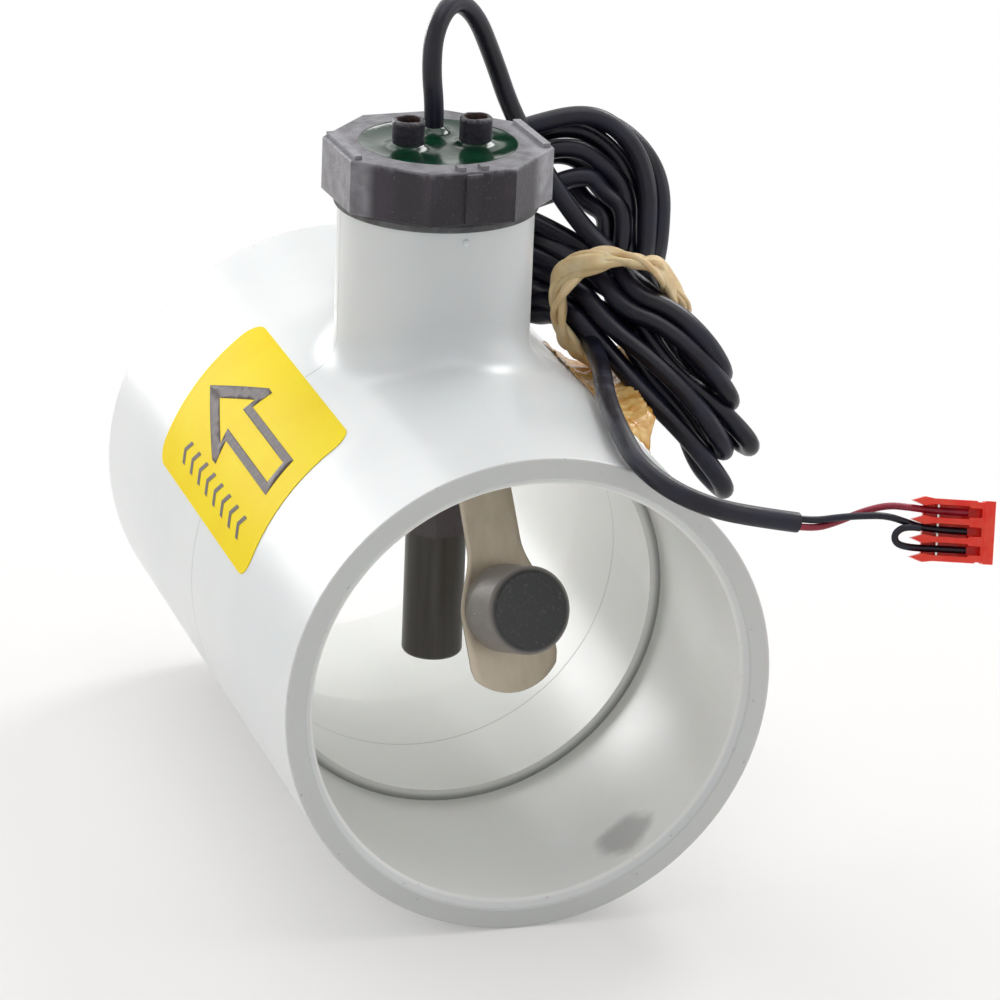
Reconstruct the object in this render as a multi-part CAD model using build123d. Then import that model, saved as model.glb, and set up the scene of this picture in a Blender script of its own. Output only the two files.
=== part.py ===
"""Paddle flow switch in a two-inch slip tee: a leaf spring with a magnet stands in the water,
and closes a reed switch in a blind tube beside it when flow pushes the leaf downstream.

Millimetres. The origin is the centre of the inlet socket's pipe stop, +Y is the way the water
flows and +Z points up the branch neck.
"""
from build123d import *
import math
import os

# Slip tee: a two-inch pipe glues into each end of the run
pipe_od = 60.325
pipe_clearance = 0.0875
socket_depth = 35.7
laying_length = 17.0
hub_wall = 4.0
stop_step = 1.5
mouth_bevel = 1.3
rim_round = 0.4
neck_height = 53.6
neck_radius = 13.9
neck_fillet = 6.0

# Thread between the plug and the neck, drawn as plain rings
thread_radius = 10.6
thread_height = 0.9
thread_pitch = 1.814
thread_turns = 9
thread_clearance = 0.1
branch_bore_radius = 9.4

# Plug head
head_sides = 8
head_flats = 30.0
head_height = 7.76
head_turn = 3.2
head_edge_round = 0.3
gasket_thickness = 1.3
gasket_radius = 14.5
gasket_round = 0.5
well_radius = 11.3
well_depth = 5.2
mark_width = 1.1
mark_height = 0.6
mark_rib_width = 2.2
mark_lug_length = 1.6
barrel_tail = 1.2

# Hollow posts in the head
post_radius = 2.3
post_bore = 1.35
post_floor = 1.5
post_rise = 3.5
post_spacing = 9.8
post_centre_x = 0.5

# Potting compound and what it buries; drops are taken from the top of the neck
potting_drop = 0.9
wire_well_radius = 2.6
wire_well_back = 1.0
wire_well_drop = 15.6
cable_exit_x = 1.3
cable_exit_y = 6.6
jacket_in_potting = 2.1
conductor_back = 0.8
splice_radius = 0.9
splice_length = 6.0
splice_spacing = 2.0
splice_drop = 1.6
resin_under_splices = 3.0
conductor_radius = 0.45

# Reed switch in its blind tube; the column reaches down from the top of the neck
reed_x = 2.55
reed_y = 2.6
column_flats = 9.0
column_turn = 12.3
column_reach = 49.7
column_bore_drop = 11.6
column_clearance = 0.4
tube_radius = 4.4
tube_length = 19.2
tube_floor = 1.4
tube_bore = 2.6
tube_end_round = 0.9
spigot_radius = 3.25
spigot_length = 8.0
glass_radius = 1.35
glass_wall = 0.3
glass_length = 14.0
glass_end_round = 0.8
glass_drop = 7.5
reed_width = 0.9
reed_thickness = 0.2
reed_overlap = 1.6
reed_gap = 0.16
reed_seal = 1.5
reed_foot = 0.8
seal_clearance = 0.1
lead_radius = 0.25
lead_bend = 0.8
lead_start_drop = 1.0
return_offset = 1.95

# Leaf spring, clamp and magnet
leaf_root_x = 4.1
leaf_root_y = -4.2
leaf_root_drop = 26.2
leaf_turn = 8.0
leaf_tilt = 18.0
leaf_lean = 5.0
leaf_thickness = 0.3
leaf_root_width = 8.0
leaf_waist_width = 8.4
leaf_paddle_width = 13.6
leaf_waist_at = 22.7
leaf_flare_at = 32.0
leaf_flare_share = 0.4
leaf_corner_at = 40.6
leaf_length = 44.1
leaf_clamped = 7.2
flex_gap = 0.15
pad_depth = 3.4
pad_margin = 0.2
clamp_width = 6.4
clamp_thickness = 0.8
clamp_edge = 0.6
clamp_bevel = 0.2
screw_spacing = 3.4
screw_radius = 0.6
screw_clearance = 0.05
screw_head_radius = 1.15
screw_head_height = 0.7
screw_slot_depth = 0.3
screw_slot_width = 0.35
screw_depth = 2.2
magnet_radius = 6.3
magnet_length = 9.1
magnet_bevel = 0.9
magnet_at = 31.9
cup_wall = 0.9
core_clearance = 0.05
rivet_radius = 1.0
rivet_clearance = 0.05
rivet_depth = 3.0
rivet_head_radius = 2.2
rivet_head_height = 0.7
rivet_bevel = 0.3

# Direction label, set round the run above its side
label_length = 50.0
label_width = 25.4
label_thickness = 0.12
label_angle = 53.8
label_corner = 3.0

# Crumpled tape between the hank and the run
tape_length = 27.0
tape_width = 8.0
tape_rise = 1.2
tape_angle = 46.0
tape_centre = -3.0
tape_corner = 0.5

# Cable, its hank and the connector
cable_radius = 1.4
band_centre = (30.4, 8.0, 35.0)
band_direction = (0.62, -0.66, -0.42)
band_ring_radius = 7.7
band_thickness = 1.5
bundle_radius = 6.1
bundle_length = 15.0
ring_radius = 5.0
fold_radius = 4.4
wire_radius = 0.48
connector_centre = (53.8, -65.6, 25.0)
connector_x = (0.951, -0.309, -0.017)
connector_face = (-0.285, -0.894, 0.346)
connector_pitch = 2.54
connector_width = 8.1
connector_back = 5.8
connector_front = -5.3
connector_floor_start = -3.7
connector_floor = 2.1
connector_walls = 2.3
connector_wall = 0.8
connector_tip = 1.7
connector_shoulder = 3.0
connector_block_length = 3.4
connector_flange = 1.4
connector_flange_side = 0.2
connector_flange_rise = 0.5
pocket_width = 1.24
pocket_floor = 0.8
wire_bed_length = 1.7
bed_clearance = 0.05
contact_thickness = 0.25
contact_place = -1.9
contact_rise = 1.4
contact_clearance = 0.02

# How far cuts and joined solids run past the face that they meet
past = 1.0
# Share of the shorter run that a route's corner arc takes
arc_share = 0.45

# Sizes that follow
socket_radius = pipe_od / 2 + pipe_clearance
hub_radius = socket_radius + hub_wall
run_radius = socket_radius - stop_step
run_length = 2 * (laying_length + socket_depth)
head_bottom = neck_height + gasket_thickness
head_top = head_bottom + head_height
head_radius = head_flats / 2 / math.cos(math.pi / 8)
well_floor = head_top - well_depth
potting_top = head_top - potting_drop
thread_bottom = neck_height - thread_turns * thread_pitch
barrel_bottom = thread_bottom - barrel_tail
column_radius = column_flats / 2 / math.cos(math.pi / 6)
column_bottom = neck_height - column_reach
column_bore_top = neck_height - column_bore_drop
wire_well_bottom = neck_height - wire_well_drop
splice_top = neck_height - splice_drop
leaf_root = (leaf_root_x, leaf_root_y, neck_height - leaf_root_drop)
tube_bottom = column_bottom - tube_length
glass_centre = column_bottom - glass_drop
glass_top = glass_centre + glass_length / 2
glass_bottom = glass_centre - glass_length / 2
moving_reed_y = reed_y - reed_gap - reed_thickness

# The crossing of the run's axis and the neck's axis: heights and routes are taken from it
crossing = Location((0, laying_length, 0))


def from_crossing(points):
    """Points measured from the crossing of the two axes, as points of the part."""
    return [Vector(x, y + laying_length, z) for x, y, z in points]


def post_cylinder(x, y, low, high, radius):
    """Upright cylinder from one height to another."""
    return Location((x, y, (low + high) / 2)) * Cylinder(radius, high - low)


def thread_solid(clearance, low, high):
    """Thread core with its rings, grown by a clearance, from low to high."""
    crest = thread_radius + clearance
    root = crest - thread_height
    outline = [(0, high), (root, high), (root, thread_bottom + thread_turns * thread_pitch)]
    for turn in range(thread_turns, 0, -1):
        top = thread_bottom + turn * thread_pitch
        outline.append((crest, top - thread_pitch * 0.5))
        outline.append((root, top - thread_pitch))
    outline += [(root, low), (0, low)]
    profile = Polyline(*[(r, 0, z) for r, z in outline], close=True)
    return revolve(make_face(profile), Axis.Z, 360)


def along_run(shape, y=0.0):
    """Turns a shape that is built round Z so that it lies along the run, at a place on it."""
    return Location((0, y, 0), (90, 0, 0)) * shape


def tee_body():
    run = along_run(Cylinder(hub_radius, run_length))
    run = fillet(run.edges().filter_by(GeomType.CIRCLE), rim_round)
    neck = post_cylinder(0, 0, 0, neck_height, neck_radius)
    body = run + neck
    seam = [
        edge
        for edge in body.edges()
        if edge.geom_type not in (GeomType.CIRCLE, GeomType.LINE)
        and abs(edge.center().Y) < neck_radius
        and edge.center().Z > 0
    ]
    body = fillet(seam, neck_fillet)
    body -= along_run(Cylinder(run_radius, run_length + past))
    for side in (-1, 1):
        middle = side * (laying_length + socket_depth / 2)
        body -= along_run(Cylinder(socket_radius, socket_depth), middle)
        mouth = side * (run_length / 2 - mouth_bevel / 2)
        bevel = Cone(socket_radius, socket_radius + mouth_bevel, mouth_bevel)
        body -= Location((0, mouth, 0), (-90 * side, 0, 0)) * bevel
    body -= post_cylinder(0, 0, 0, neck_height, branch_bore_radius)
    body -= thread_solid(thread_clearance, barrel_bottom - thread_clearance, neck_height + past)
    return body


def head_octagon(low, high):
    turn = head_turn + 180 / head_sides
    face = Rot(0, 0, turn) * RegularPolygon(head_radius, head_sides)
    return Pos(0, 0, low) * extrude(face, high - low)


def head_marks():
    """Raised ribs on two top edges of the head, and an upright rib with two lugs in front."""
    marks = []
    half = head_flats / 2
    ridge_length = head_flats * math.tan(math.pi / head_sides)
    mark_middle = head_top + mark_height / 2
    for side in (-1, 1):
        ridge = Box(mark_width, ridge_length, mark_height)
        marks.append(Pos(side * (half - mark_width), 0, mark_middle) * ridge)
        lug = Box(mark_width, mark_lug_length, mark_height)
        lug_x = side * (mark_rib_width + mark_width) / 2
        marks.append(Pos(lug_x, mark_width - half, mark_middle) * lug)
    rib = Box(mark_rib_width, mark_height, head_height - 2 * head_edge_round)
    marks.append(Pos(0, -half - mark_height / 2, head_bottom + head_height / 2) * rib)
    return [Rot(0, 0, head_turn) * mark for mark in marks]


def leaf_plane():
    """Plane of the leaf's back: X across it, Z up along it, Y downstream, origin at the flex line."""
    turn = math.radians(leaf_turn)
    tilt = math.radians(leaf_tilt)
    lean = math.radians(leaf_lean)
    across = Vector(math.cos(turn), math.sin(turn), 0)
    down = Vector(math.sin(turn) * math.sin(tilt), -math.cos(turn) * math.sin(tilt), -math.cos(tilt))
    width_dir = across * math.cos(lean) - down * math.sin(lean)
    down_dir = down * math.cos(lean) + across * math.sin(lean)
    return Plane(origin=leaf_root, x_dir=width_dir, z_dir=down_dir * -1)


def on_leaf(shape):
    return leaf_plane().location * shape


def leaf_box(width, front, back, low, high):
    """Box in the leaf's own axes: front and back are distances downstream of the leaf's back."""
    place = Location((0, (front + back) / 2, (low + high) / 2))
    return place * Box(width, back - front, high - low)


def clamp_screw_places():
    height = leaf_clamped / 2
    return [(side * screw_spacing / 2, height) for side in (-1, 1)]


def leaf_rod(x, z, front, back, radius):
    """Rod through the leaf, along its normal."""
    place = Location((x, (front + back) / 2, z), (90, 0, 0))
    return place * Cylinder(radius, back - front)


def plug_body():
    """Octagon head, threaded barrel, hexagonal column for the reed tube and the leaf's pad."""
    head = head_octagon(head_bottom, head_top)
    edges = head.edges().filter_by(Plane.XY).group_by(Axis.Z)
    head = fillet(edges[0] + edges[-1], head_edge_round)
    barrel = thread_solid(0, barrel_bottom, head_bottom + gasket_thickness / 2)
    column_face = Rot(0, 0, column_turn) * RegularPolygon(column_radius, 6)
    column = Pos(reed_x, reed_y, column_bottom) * extrude(column_face, barrel_bottom + past - column_bottom)
    pad_rise = (barrel_bottom + past - leaf_root[2]) / math.cos(math.radians(leaf_tilt))
    pad = on_leaf(leaf_box(leaf_root_width - 2 * pad_margin, 0, pad_depth, pad_margin, pad_rise))
    pad &= post_cylinder(0, 0, column_bottom, barrel_bottom + past, branch_bore_radius - column_clearance)
    body = head + barrel + column + pad
    for mark in head_marks():
        body += mark
    body -= post_cylinder(0, 0, well_floor, head_top + past, well_radius)
    well_y = cable_exit_y - wire_well_back
    body -= post_cylinder(cable_exit_x, well_y, wire_well_bottom, head_top, wire_well_radius)
    body -= post_cylinder(reed_x, reed_y, column_bottom - past, column_bore_top, spigot_radius)
    for x, z in clamp_screw_places():
        body -= on_leaf(leaf_rod(x, z, -past, screw_depth, screw_radius))
    return body


def plug_gasket():
    ring = post_cylinder(0, 0, neck_height, head_bottom, gasket_radius)
    hole = post_cylinder(0, 0, neck_height - past, head_bottom + past, thread_radius + thread_clearance)
    ring -= hole
    return fillet(ring.edges().filter_by(GeomType.CIRCLE).group_by(SortBy.RADIUS)[-1], gasket_round)


def posts():
    made = []
    for side in (-1, 1):
        x = post_centre_x + side * post_spacing / 2
        post = post_cylinder(x, 0, well_floor, head_top + post_rise, post_radius)
        post -= post_cylinder(x, 0, well_floor + post_floor, head_top + post_rise + past, post_bore)
        made.append(post)
    return made


def conductor_places():
    y = cable_exit_y - conductor_back
    return [(cable_exit_x + side * splice_spacing / 2, y) for side in (-1, 1)]


def potting_compound():
    """Green resin that fills the well round the posts, the cable's end and the splices."""
    splice_bottom = splice_top - splice_length
    jacket_end = potting_top - jacket_in_potting
    plug_bottom = splice_bottom - resin_under_splices
    resin = post_cylinder(0, 0, well_floor, potting_top, well_radius)
    well_y = cable_exit_y - wire_well_back
    resin += post_cylinder(cable_exit_x, well_y, plug_bottom, well_floor, wire_well_radius)
    for side in (-1, 1):
        x = post_centre_x + side * post_spacing / 2
        resin -= post_cylinder(x, 0, well_floor - past, head_top, post_radius)
    resin -= post_cylinder(cable_exit_x, cable_exit_y, jacket_end, head_top, cable_radius)
    for x, y in conductor_places():
        resin -= post_cylinder(x, y, splice_top, jacket_end, conductor_radius)
        resin -= post_cylinder(x, y, splice_bottom, splice_top, splice_radius)
        resin -= post_cylinder(x, y, plug_bottom - past, splice_bottom, lead_radius)
    return resin


def conductors():
    top = potting_top - jacket_in_potting
    return [post_cylinder(x, y, splice_top, top, conductor_radius) for x, y in conductor_places()]


def splices():
    bottom = splice_top - splice_length
    return [post_cylinder(x, y, bottom, splice_top, splice_radius) for x, y in conductor_places()]


def reed_tube():
    tube = post_cylinder(reed_x, reed_y, tube_bottom, column_bottom, tube_radius)
    lower = tube.edges().filter_by(GeomType.CIRCLE).group_by(Axis.Z)[0]
    tube = fillet(lower, tube_end_round)
    tube += post_cylinder(reed_x, reed_y, column_bottom, column_bottom + spigot_length, spigot_radius)
    spigot_top = column_bottom + spigot_length
    tube -= post_cylinder(reed_x, reed_y, tube_bottom + tube_floor, spigot_top + past, tube_bore)
    return tube


def reed_glass():
    """Sealed glass capsule: solid seals at both ends, a hollow middle, an opening where metal enters."""
    glass = post_cylinder(reed_x, reed_y, glass_bottom, glass_top, glass_radius)
    glass = fillet(glass.edges().filter_by(GeomType.CIRCLE), glass_end_round)
    seal_low = glass_bottom + reed_seal
    seal_high = glass_top - reed_seal
    glass -= post_cylinder(reed_x, reed_y, seal_low, seal_high, glass_radius - glass_wall)
    room = 2 * seal_clearance
    slot = Box(reed_width + room, reed_thickness + room, reed_seal + past)
    lead_room = lead_radius + seal_clearance
    glass -= post_cylinder(reed_x, moving_reed_y, seal_high - past, glass_top + past, lead_room)
    glass -= Pos(reed_x, reed_y, glass_bottom + reed_seal / 2) * slot
    return glass


def reed_blade(y, low, high):
    return Pos(reed_x, y, (low + high) / 2) * Box(reed_width, reed_thickness, high - low)


def fixed_reed():
    return reed_blade(reed_y, glass_bottom - reed_foot, glass_centre + reed_overlap / 2)


def moving_reed():
    return reed_blade(moving_reed_y, glass_centre - reed_overlap / 2, glass_top - reed_seal)


def bent_wire(points, radius, bend):
    path = FilletPolyline(*points, radius=bend)
    start = Plane(origin=path @ 0, z_dir=path % 0)
    return sweep(start * Circle(radius), path)


def upper_lead():
    """Lead from the moving reed's seal up to its splice."""
    x, splice_y = conductor_places()[1]
    points = [
        (reed_x, moving_reed_y, glass_top - reed_seal + seal_clearance),
        (reed_x, moving_reed_y, wire_well_bottom - lead_start_drop),
        (x, splice_y, column_bore_top),
        (x, splice_y, splice_top - splice_length),
    ]
    return bent_wire(points, lead_radius, lead_bend)


def return_lead():
    """Lead from the fixed reed's lower end, back up beside the glass to its splice."""
    x, splice_y = conductor_places()[0]
    side_x = reed_x - return_offset
    foot = glass_bottom - reed_foot - lead_radius
    points = [
        (reed_x + reed_width / 2, reed_y, foot),
        (side_x, reed_y, foot),
        (side_x, reed_y, wire_well_bottom - lead_start_drop),
        (x, splice_y, column_bore_top),
        (x, splice_y, splice_top - splice_length),
    ]
    return bent_wire(points, lead_radius, lead_bend)


def leaf_outline():
    """Face of the free leaf in its own plane: a waisted strip with a round-ended paddle."""
    root = leaf_root_width / 2
    waist = leaf_waist_width / 2
    paddle = leaf_paddle_width / 2
    top = Line((-root, -flex_gap), (root, -flex_gap))
    right_neck = Line((root, -flex_gap), (waist, -leaf_waist_at))
    right_flare = Spline(
        (waist, -leaf_waist_at),
        (waist + (paddle - waist) * leaf_flare_share, -(leaf_waist_at + leaf_flare_at) / 2),
        (paddle, -leaf_flare_at),
        tangents=[(0, -1), (0, -1)],
    )
    right_side = Line((paddle, -leaf_flare_at), (paddle, -leaf_corner_at))
    end = ThreePointArc((paddle, -leaf_corner_at), (0, -leaf_length), (-paddle, -leaf_corner_at))
    half = [right_neck, right_flare, right_side]
    sides = half + [edge.mirror(Plane.YZ) for edge in half]
    return make_face([top, end] + sides)


def leaf_blade():
    face = Plane.XZ * leaf_outline()
    blade = extrude(face, leaf_thickness)
    blade -= leaf_rod(0, -magnet_at, -past, past, rivet_radius + rivet_clearance)
    return on_leaf(blade)


def leaf_root_piece():
    root = leaf_box(leaf_root_width, -leaf_thickness, 0, flex_gap, leaf_clamped)
    for x, z in clamp_screw_places():
        root -= leaf_rod(x, z, -past, past, screw_radius + screw_clearance)
    return on_leaf(root)


def clamp_plate():
    front = -leaf_thickness - clamp_thickness
    plate = leaf_box(clamp_width, front, -leaf_thickness, clamp_edge, leaf_clamped - clamp_edge)
    plate = chamfer(plate.faces().sort_by(Axis.Y)[0].edges(), clamp_bevel)
    for x, z in clamp_screw_places():
        plate -= leaf_rod(x, z, front - past, past, screw_radius + screw_clearance)
    return on_leaf(plate)


def clamp_screws():
    front = -leaf_thickness - clamp_thickness
    made = []
    for x, z in clamp_screw_places():
        screw = leaf_rod(x, z, front, screw_depth, screw_radius)
        head = leaf_rod(x, z, front - screw_head_height, front, screw_head_radius)
        slot_size = (2 * screw_head_radius, 2 * screw_slot_depth, screw_slot_width)
        slot = Pos(x, front - screw_head_height, z) * Box(*slot_size)
        made.append(on_leaf(screw + head - slot))
    return made


def magnet_cup():
    """Moulded case on the upstream face of the paddle, open towards the leaf."""
    back = -leaf_thickness
    front = back - magnet_length
    cup = leaf_rod(0, -magnet_at, front, back, magnet_radius)
    nose = cup.faces().sort_by(Axis.Y)[0].edges()
    cup = chamfer(nose, magnet_bevel)
    cup -= leaf_rod(0, -magnet_at, front + cup_wall, back + past, magnet_radius - cup_wall)
    return on_leaf(cup)


def magnet_core():
    back = -leaf_thickness
    front = back - magnet_length + cup_wall + core_clearance
    core = leaf_rod(0, -magnet_at, front, back, magnet_radius - cup_wall - core_clearance)
    core -= leaf_rod(0, -magnet_at, back - rivet_depth, back + past, rivet_radius)
    return on_leaf(core)


def paddle_rivet():
    shank = leaf_rod(0, -magnet_at, -leaf_thickness - rivet_depth, 0, rivet_radius)
    head = leaf_rod(0, -magnet_at, 0, rivet_head_height, rivet_head_radius)
    crown = head.faces().sort_by(Axis.Y)[-1].edges()
    return on_leaf(shank + chamfer(crown, rivet_bevel))


def run_patch(length, width, thickness, corner):
    """Rectangle of sheet laid round the top of the run, with rounded corners."""
    shell = along_run(Cylinder(hub_radius + thickness, length))
    shell -= along_run(Cylinder(hub_radius, length + past))
    chord = 2 * hub_radius * math.sin(width / 2 / hub_radius)
    return shell & extrude(RectangleRounded(chord, length, corner), hub_radius + thickness + past)


def flow_label():
    return Rot(0, -label_angle, 0) * run_patch(label_length, label_width, label_thickness, label_corner)


def corner_radii(points):
    """Largest tangent arc at each corner that leaves its two runs a little straight."""
    radii = []
    for before, corner, after in zip(points, points[1:], points[2:]):
        first = corner - before
        second = after - corner
        half_turn = math.radians(first.get_angle(second)) / 2
        radii.append(arc_share * min(first.length, second.length) / math.tan(half_turn))
    return radii


def round_tube(points, radius):
    path = FilletPolyline(*points, radius=corner_radii(points))
    start = Plane(origin=path @ 0, z_dir=path % 0)
    return sweep(start * Circle(radius), path)


def cord(points, radius, name):
    """Tube along a cord's route, with its arcs, length and volume printed."""
    radii = [round(arc, 1) for arc in corner_radii(points)]
    tube = round_tube(points, radius)
    length = FilletPolyline(*points, radius=corner_radii(points)).length
    section = math.pi * radius**2 * length
    print(f"{name}: radii {radii} mm at {2 * radius} mm diameter")
    print(f"{name}: length {length:.1f} mm, volume {tube.volume:.1f} of {section:.1f} mm3")
    return tube


# Cable routes, measured from the crossing
lead_points = [
    (1.3, 6.6, 59.66),
    (1.3, 6.6, 65.2),
    (0.6, 6.8, 71.2),
    (1.3, 8.2, 76.5),
    (4.6, 11.2, 80.0),
    (9.0, 14.3, 77.2),
    (12.9, 17.2, 69.5),
    (16.6, 18.8, 60.5),
    (21.2, 17.0, 52.3),
    (25.8, 13.2, 45.0),
    (28.4, 10.2, 39.0),
]
tail_points = [
    (27.5, 7.0, 31.0),
    (23.9, -5.5, 29.2),
    (20.0, -18.5, 30.9),
    (16.6, -32.0, 32.4),
    (13.8, -45.0, 33.9),
    (12.9, -54.3, 33.4),
    (15.7, -59.8, 31.4),
    (21.2, -61.4, 29.0),
    (27.6, -60.6, 27.0),
    (34.0, -60.0, 25.5),
]
ring_points = [
    (30.4, 8.0, 35.0),
    (35.0, 13.0, 43.0),
    (36.0, 17.0, 51.0),
    (31.0, 20.5, 56.5),
    (23.0, 22.5, 56.5),
    (12.0, 24.5, 51.0),
    (4.5, 24.5, 45.0),
    (9.0, 23.5, 39.9),
    (21.0, 16.0, 37.0),
    (28.5, 10.0, 35.8),
]
upper_fold_points = [
    (30.4, 8.0, 35.0),
    (35.5, 1.5, 32.5),
    (40.0, -5.0, 28.6),
    (42.0, -9.0, 24.5),
]
lower_fold_points = [
    (30.4, 8.0, 35.0),
    (36.0, 1.0, 28.8),
    (40.5, -6.5, 20.8),
    (42.2, -10.5, 14.5),
]


def cable_lead():
    return cord(from_crossing(lead_points), cable_radius, "cable_lead")


def cable_tail():
    return cord(from_crossing(tail_points), cable_radius, "cable_tail")


def band_plane():
    return Plane(origin=band_centre, z_dir=band_direction)


def cable_hank():
    """Outer shape of the wound cable: upper loops, the tied waist and the folded ends."""
    hank = crossing * (band_plane().location * Cylinder(bundle_radius, bundle_length))
    hank += round_tube(from_crossing(ring_points), ring_radius)
    for route in (upper_fold_points, lower_fold_points):
        points = from_crossing(route)
        hank += round_tube(points, fold_radius)
        hank += Pos(*points[-1]) * Sphere(fold_radius)
    return hank


def rubber_band():
    return crossing * (band_plane().location * Torus(band_ring_radius, band_thickness))


def tape_tab():
    """Crumpled strip of clear tape that holds the hank to the side of the run."""
    patch = run_patch(tape_length, tape_width, tape_rise, tape_corner)
    return Pos(0, tape_centre, 0) * (Rot(0, tape_angle, 0) * patch)


def connector_location():
    return crossing * Plane(origin=connector_centre, x_dir=connector_x, z_dir=connector_face).location


def connector_block(low, high):
    size = [b - a for a, b in zip(low, high)]
    middle = [(a + b) / 2 for a, b in zip(low, high)]
    return Pos(*middle) * Box(*size)


def wire_places():
    return [position * connector_pitch for position in (-1, 0, 1)]


def connector_housing():
    """Three-way comb housing: a floor, four pointed walls, a block and a flange at the mating end."""
    half = connector_width / 2
    floor_top = -wire_radius - bed_clearance
    floor_low = floor_top - connector_floor
    wall_top = floor_top + connector_walls
    block_start = connector_back - connector_block_length
    body = connector_block((connector_floor_start, -half, floor_low), (connector_back, half, floor_top))
    body += connector_block((block_start, -half, floor_low), (connector_back, half, wall_top))
    side = half + connector_flange_side
    flange_low = (connector_back - connector_flange, -side, floor_low - connector_flange_rise)
    flange_high = (connector_back, side, wall_top + connector_flange_rise)
    body += connector_block(flange_low, flange_high)
    for y in (-1.5 * connector_pitch, -0.5 * connector_pitch, 0.5 * connector_pitch, 1.5 * connector_pitch):
        outline = Polyline(
            (connector_front, y),
            (connector_front + connector_tip, y + connector_wall * 0.75),
            (connector_front + connector_shoulder, y + connector_wall / 2),
            (block_start + past, y + connector_wall / 2),
            (block_start + past, y - connector_wall / 2),
            (connector_front + connector_shoulder, y - connector_wall / 2),
            (connector_front + connector_tip, y - connector_wall * 0.75),
            close=True,
        )
        wall = extrude(make_face(outline), wall_top - floor_low)
        body += Pos(0, 0, floor_low) * wall
    reach = pocket_width / 2
    bed_end = block_start + wire_bed_length
    for y in wire_places():
        pocket_low = (block_start - past, y - reach, floor_low + pocket_floor)
        body -= connector_block(pocket_low, (connector_back + past, y + reach, floor_top))
        bed_low = (block_start - past, y - reach, floor_top)
        body -= connector_block(bed_low, (bed_end, y + reach, wall_top + past))
    return connector_location() * body


def connector_contacts():
    """Insulation-piercing contacts: a forked plate across each slot."""
    floor_top = -wire_radius - bed_clearance
    inner = (connector_pitch - connector_wall) / 2 - contact_clearance
    front = contact_place + contact_thickness
    made = []
    for y in wire_places():
        plate = connector_block((contact_place, y - inner, floor_top), (front, y + inner, contact_rise))
        fork_low = (contact_place - past, y - wire_radius, -wire_radius)
        plate -= connector_block(fork_low, (front + past, y + wire_radius, contact_rise + past))
        made.append(connector_location() * plate)
    return made


# Wire routes in the connector's own axes
red_points = [
    (-20.57, -0.66, 0.81),
    (-18.2, -0.83, -0.34),
    (-15.2, 0.2, -0.6),
    (-12.0, 1.8, -0.4),
    (-8.6, 2.9, 0.0),
    (-5.6, 2.8, 0.1),
    (-2.6, 2.54, 0.0),
    (2.3, 2.54, 0.0),
]
black_points = [
    (-20.57, 0.4, 0.81),
    (-18.2, 0.23, -0.34),
    (-15.0, 0.9, 0.7),
    (-11.8, 1.3, 1.4),
    (-8.6, 1.5, 1.1),
    (-5.8, 0.75, 0.4),
    (-3.2, 0.0, 0.0),
    (2.3, 0.0, 0.0),
]
jumper_points = [
    (-4.0, 0.12, 1.3),
    (-6.0, 0.3, 1.3),
    (-7.5, -0.8, 0.9),
    (-7.2, -2.2, 0.4),
    (-5.2, -2.6, 0.1),
    (-2.6, -2.54, 0.0),
    (2.3, -2.54, 0.0),
]


def lead_wire(points, name):
    place = connector_location()
    placed = [(place * Location(point)).position for point in points]
    return cord(placed, wire_radius, name)


def build():
    nodes = {
        "tee_body": crossing * tee_body(),
        "flow_label": crossing * flow_label(),
        "plug_body": crossing * plug_body(),
        "plug_gasket": crossing * plug_gasket(),
        "potting_compound": crossing * potting_compound(),
        "reed_tube": crossing * reed_tube(),
        "reed_glass": crossing * reed_glass(),
        "fixed_reed": crossing * fixed_reed(),
        "moving_reed": crossing * moving_reed(),
        "upper_lead": crossing * upper_lead(),
        "return_lead": crossing * return_lead(),
        "leaf_root": crossing * leaf_root_piece(),
        "leaf_blade": crossing * leaf_blade(),
        "clamp_plate": crossing * clamp_plate(),
        "magnet_cup": crossing * magnet_cup(),
        "magnet_core": crossing * magnet_core(),
        "paddle_rivet": crossing * paddle_rivet(),
        "cable_lead": cable_lead(),
        "cable_hank": cable_hank(),
        "cable_tail": cable_tail(),
        "rubber_band": rubber_band(),
        "tape_tab": crossing * tape_tab(),
        "wire_red": lead_wire(red_points, "wire_red"),
        "wire_black": lead_wire(black_points, "wire_black"),
        "wire_jumper": lead_wire(jumper_points, "wire_jumper"),
        "connector_housing": connector_housing(),
    }
    left, right = posts()
    nodes["post_left"] = crossing * left
    nodes["post_right"] = crossing * right
    nodes["conductors"] = Compound(children=[crossing * piece for piece in conductors()])
    nodes["splices"] = Compound(children=[crossing * piece for piece in splices()])
    nodes["clamp_screws"] = Compound(children=[crossing * piece for piece in clamp_screws()])
    nodes["connector_contacts"] = Compound(children=connector_contacts())
    return nodes


os.makedirs("parts", exist_ok=True)
for node_name, node_shape in build().items():
    export_step(node_shape, f"parts/{node_name}.step")
    print(node_name, round(node_shape.volume, 2))
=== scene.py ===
"""Paddle flow switch in a two-inch slip tee, dressed for its pictures.

Metres, in the frame of the solids: the origin is the centre of the inlet's pipe stop, +Y is the
way the water flows and +Z points up the branch neck.
"""
import bpy
import bmesh
import math
from mathutils import Matrix, Vector, noise


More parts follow.
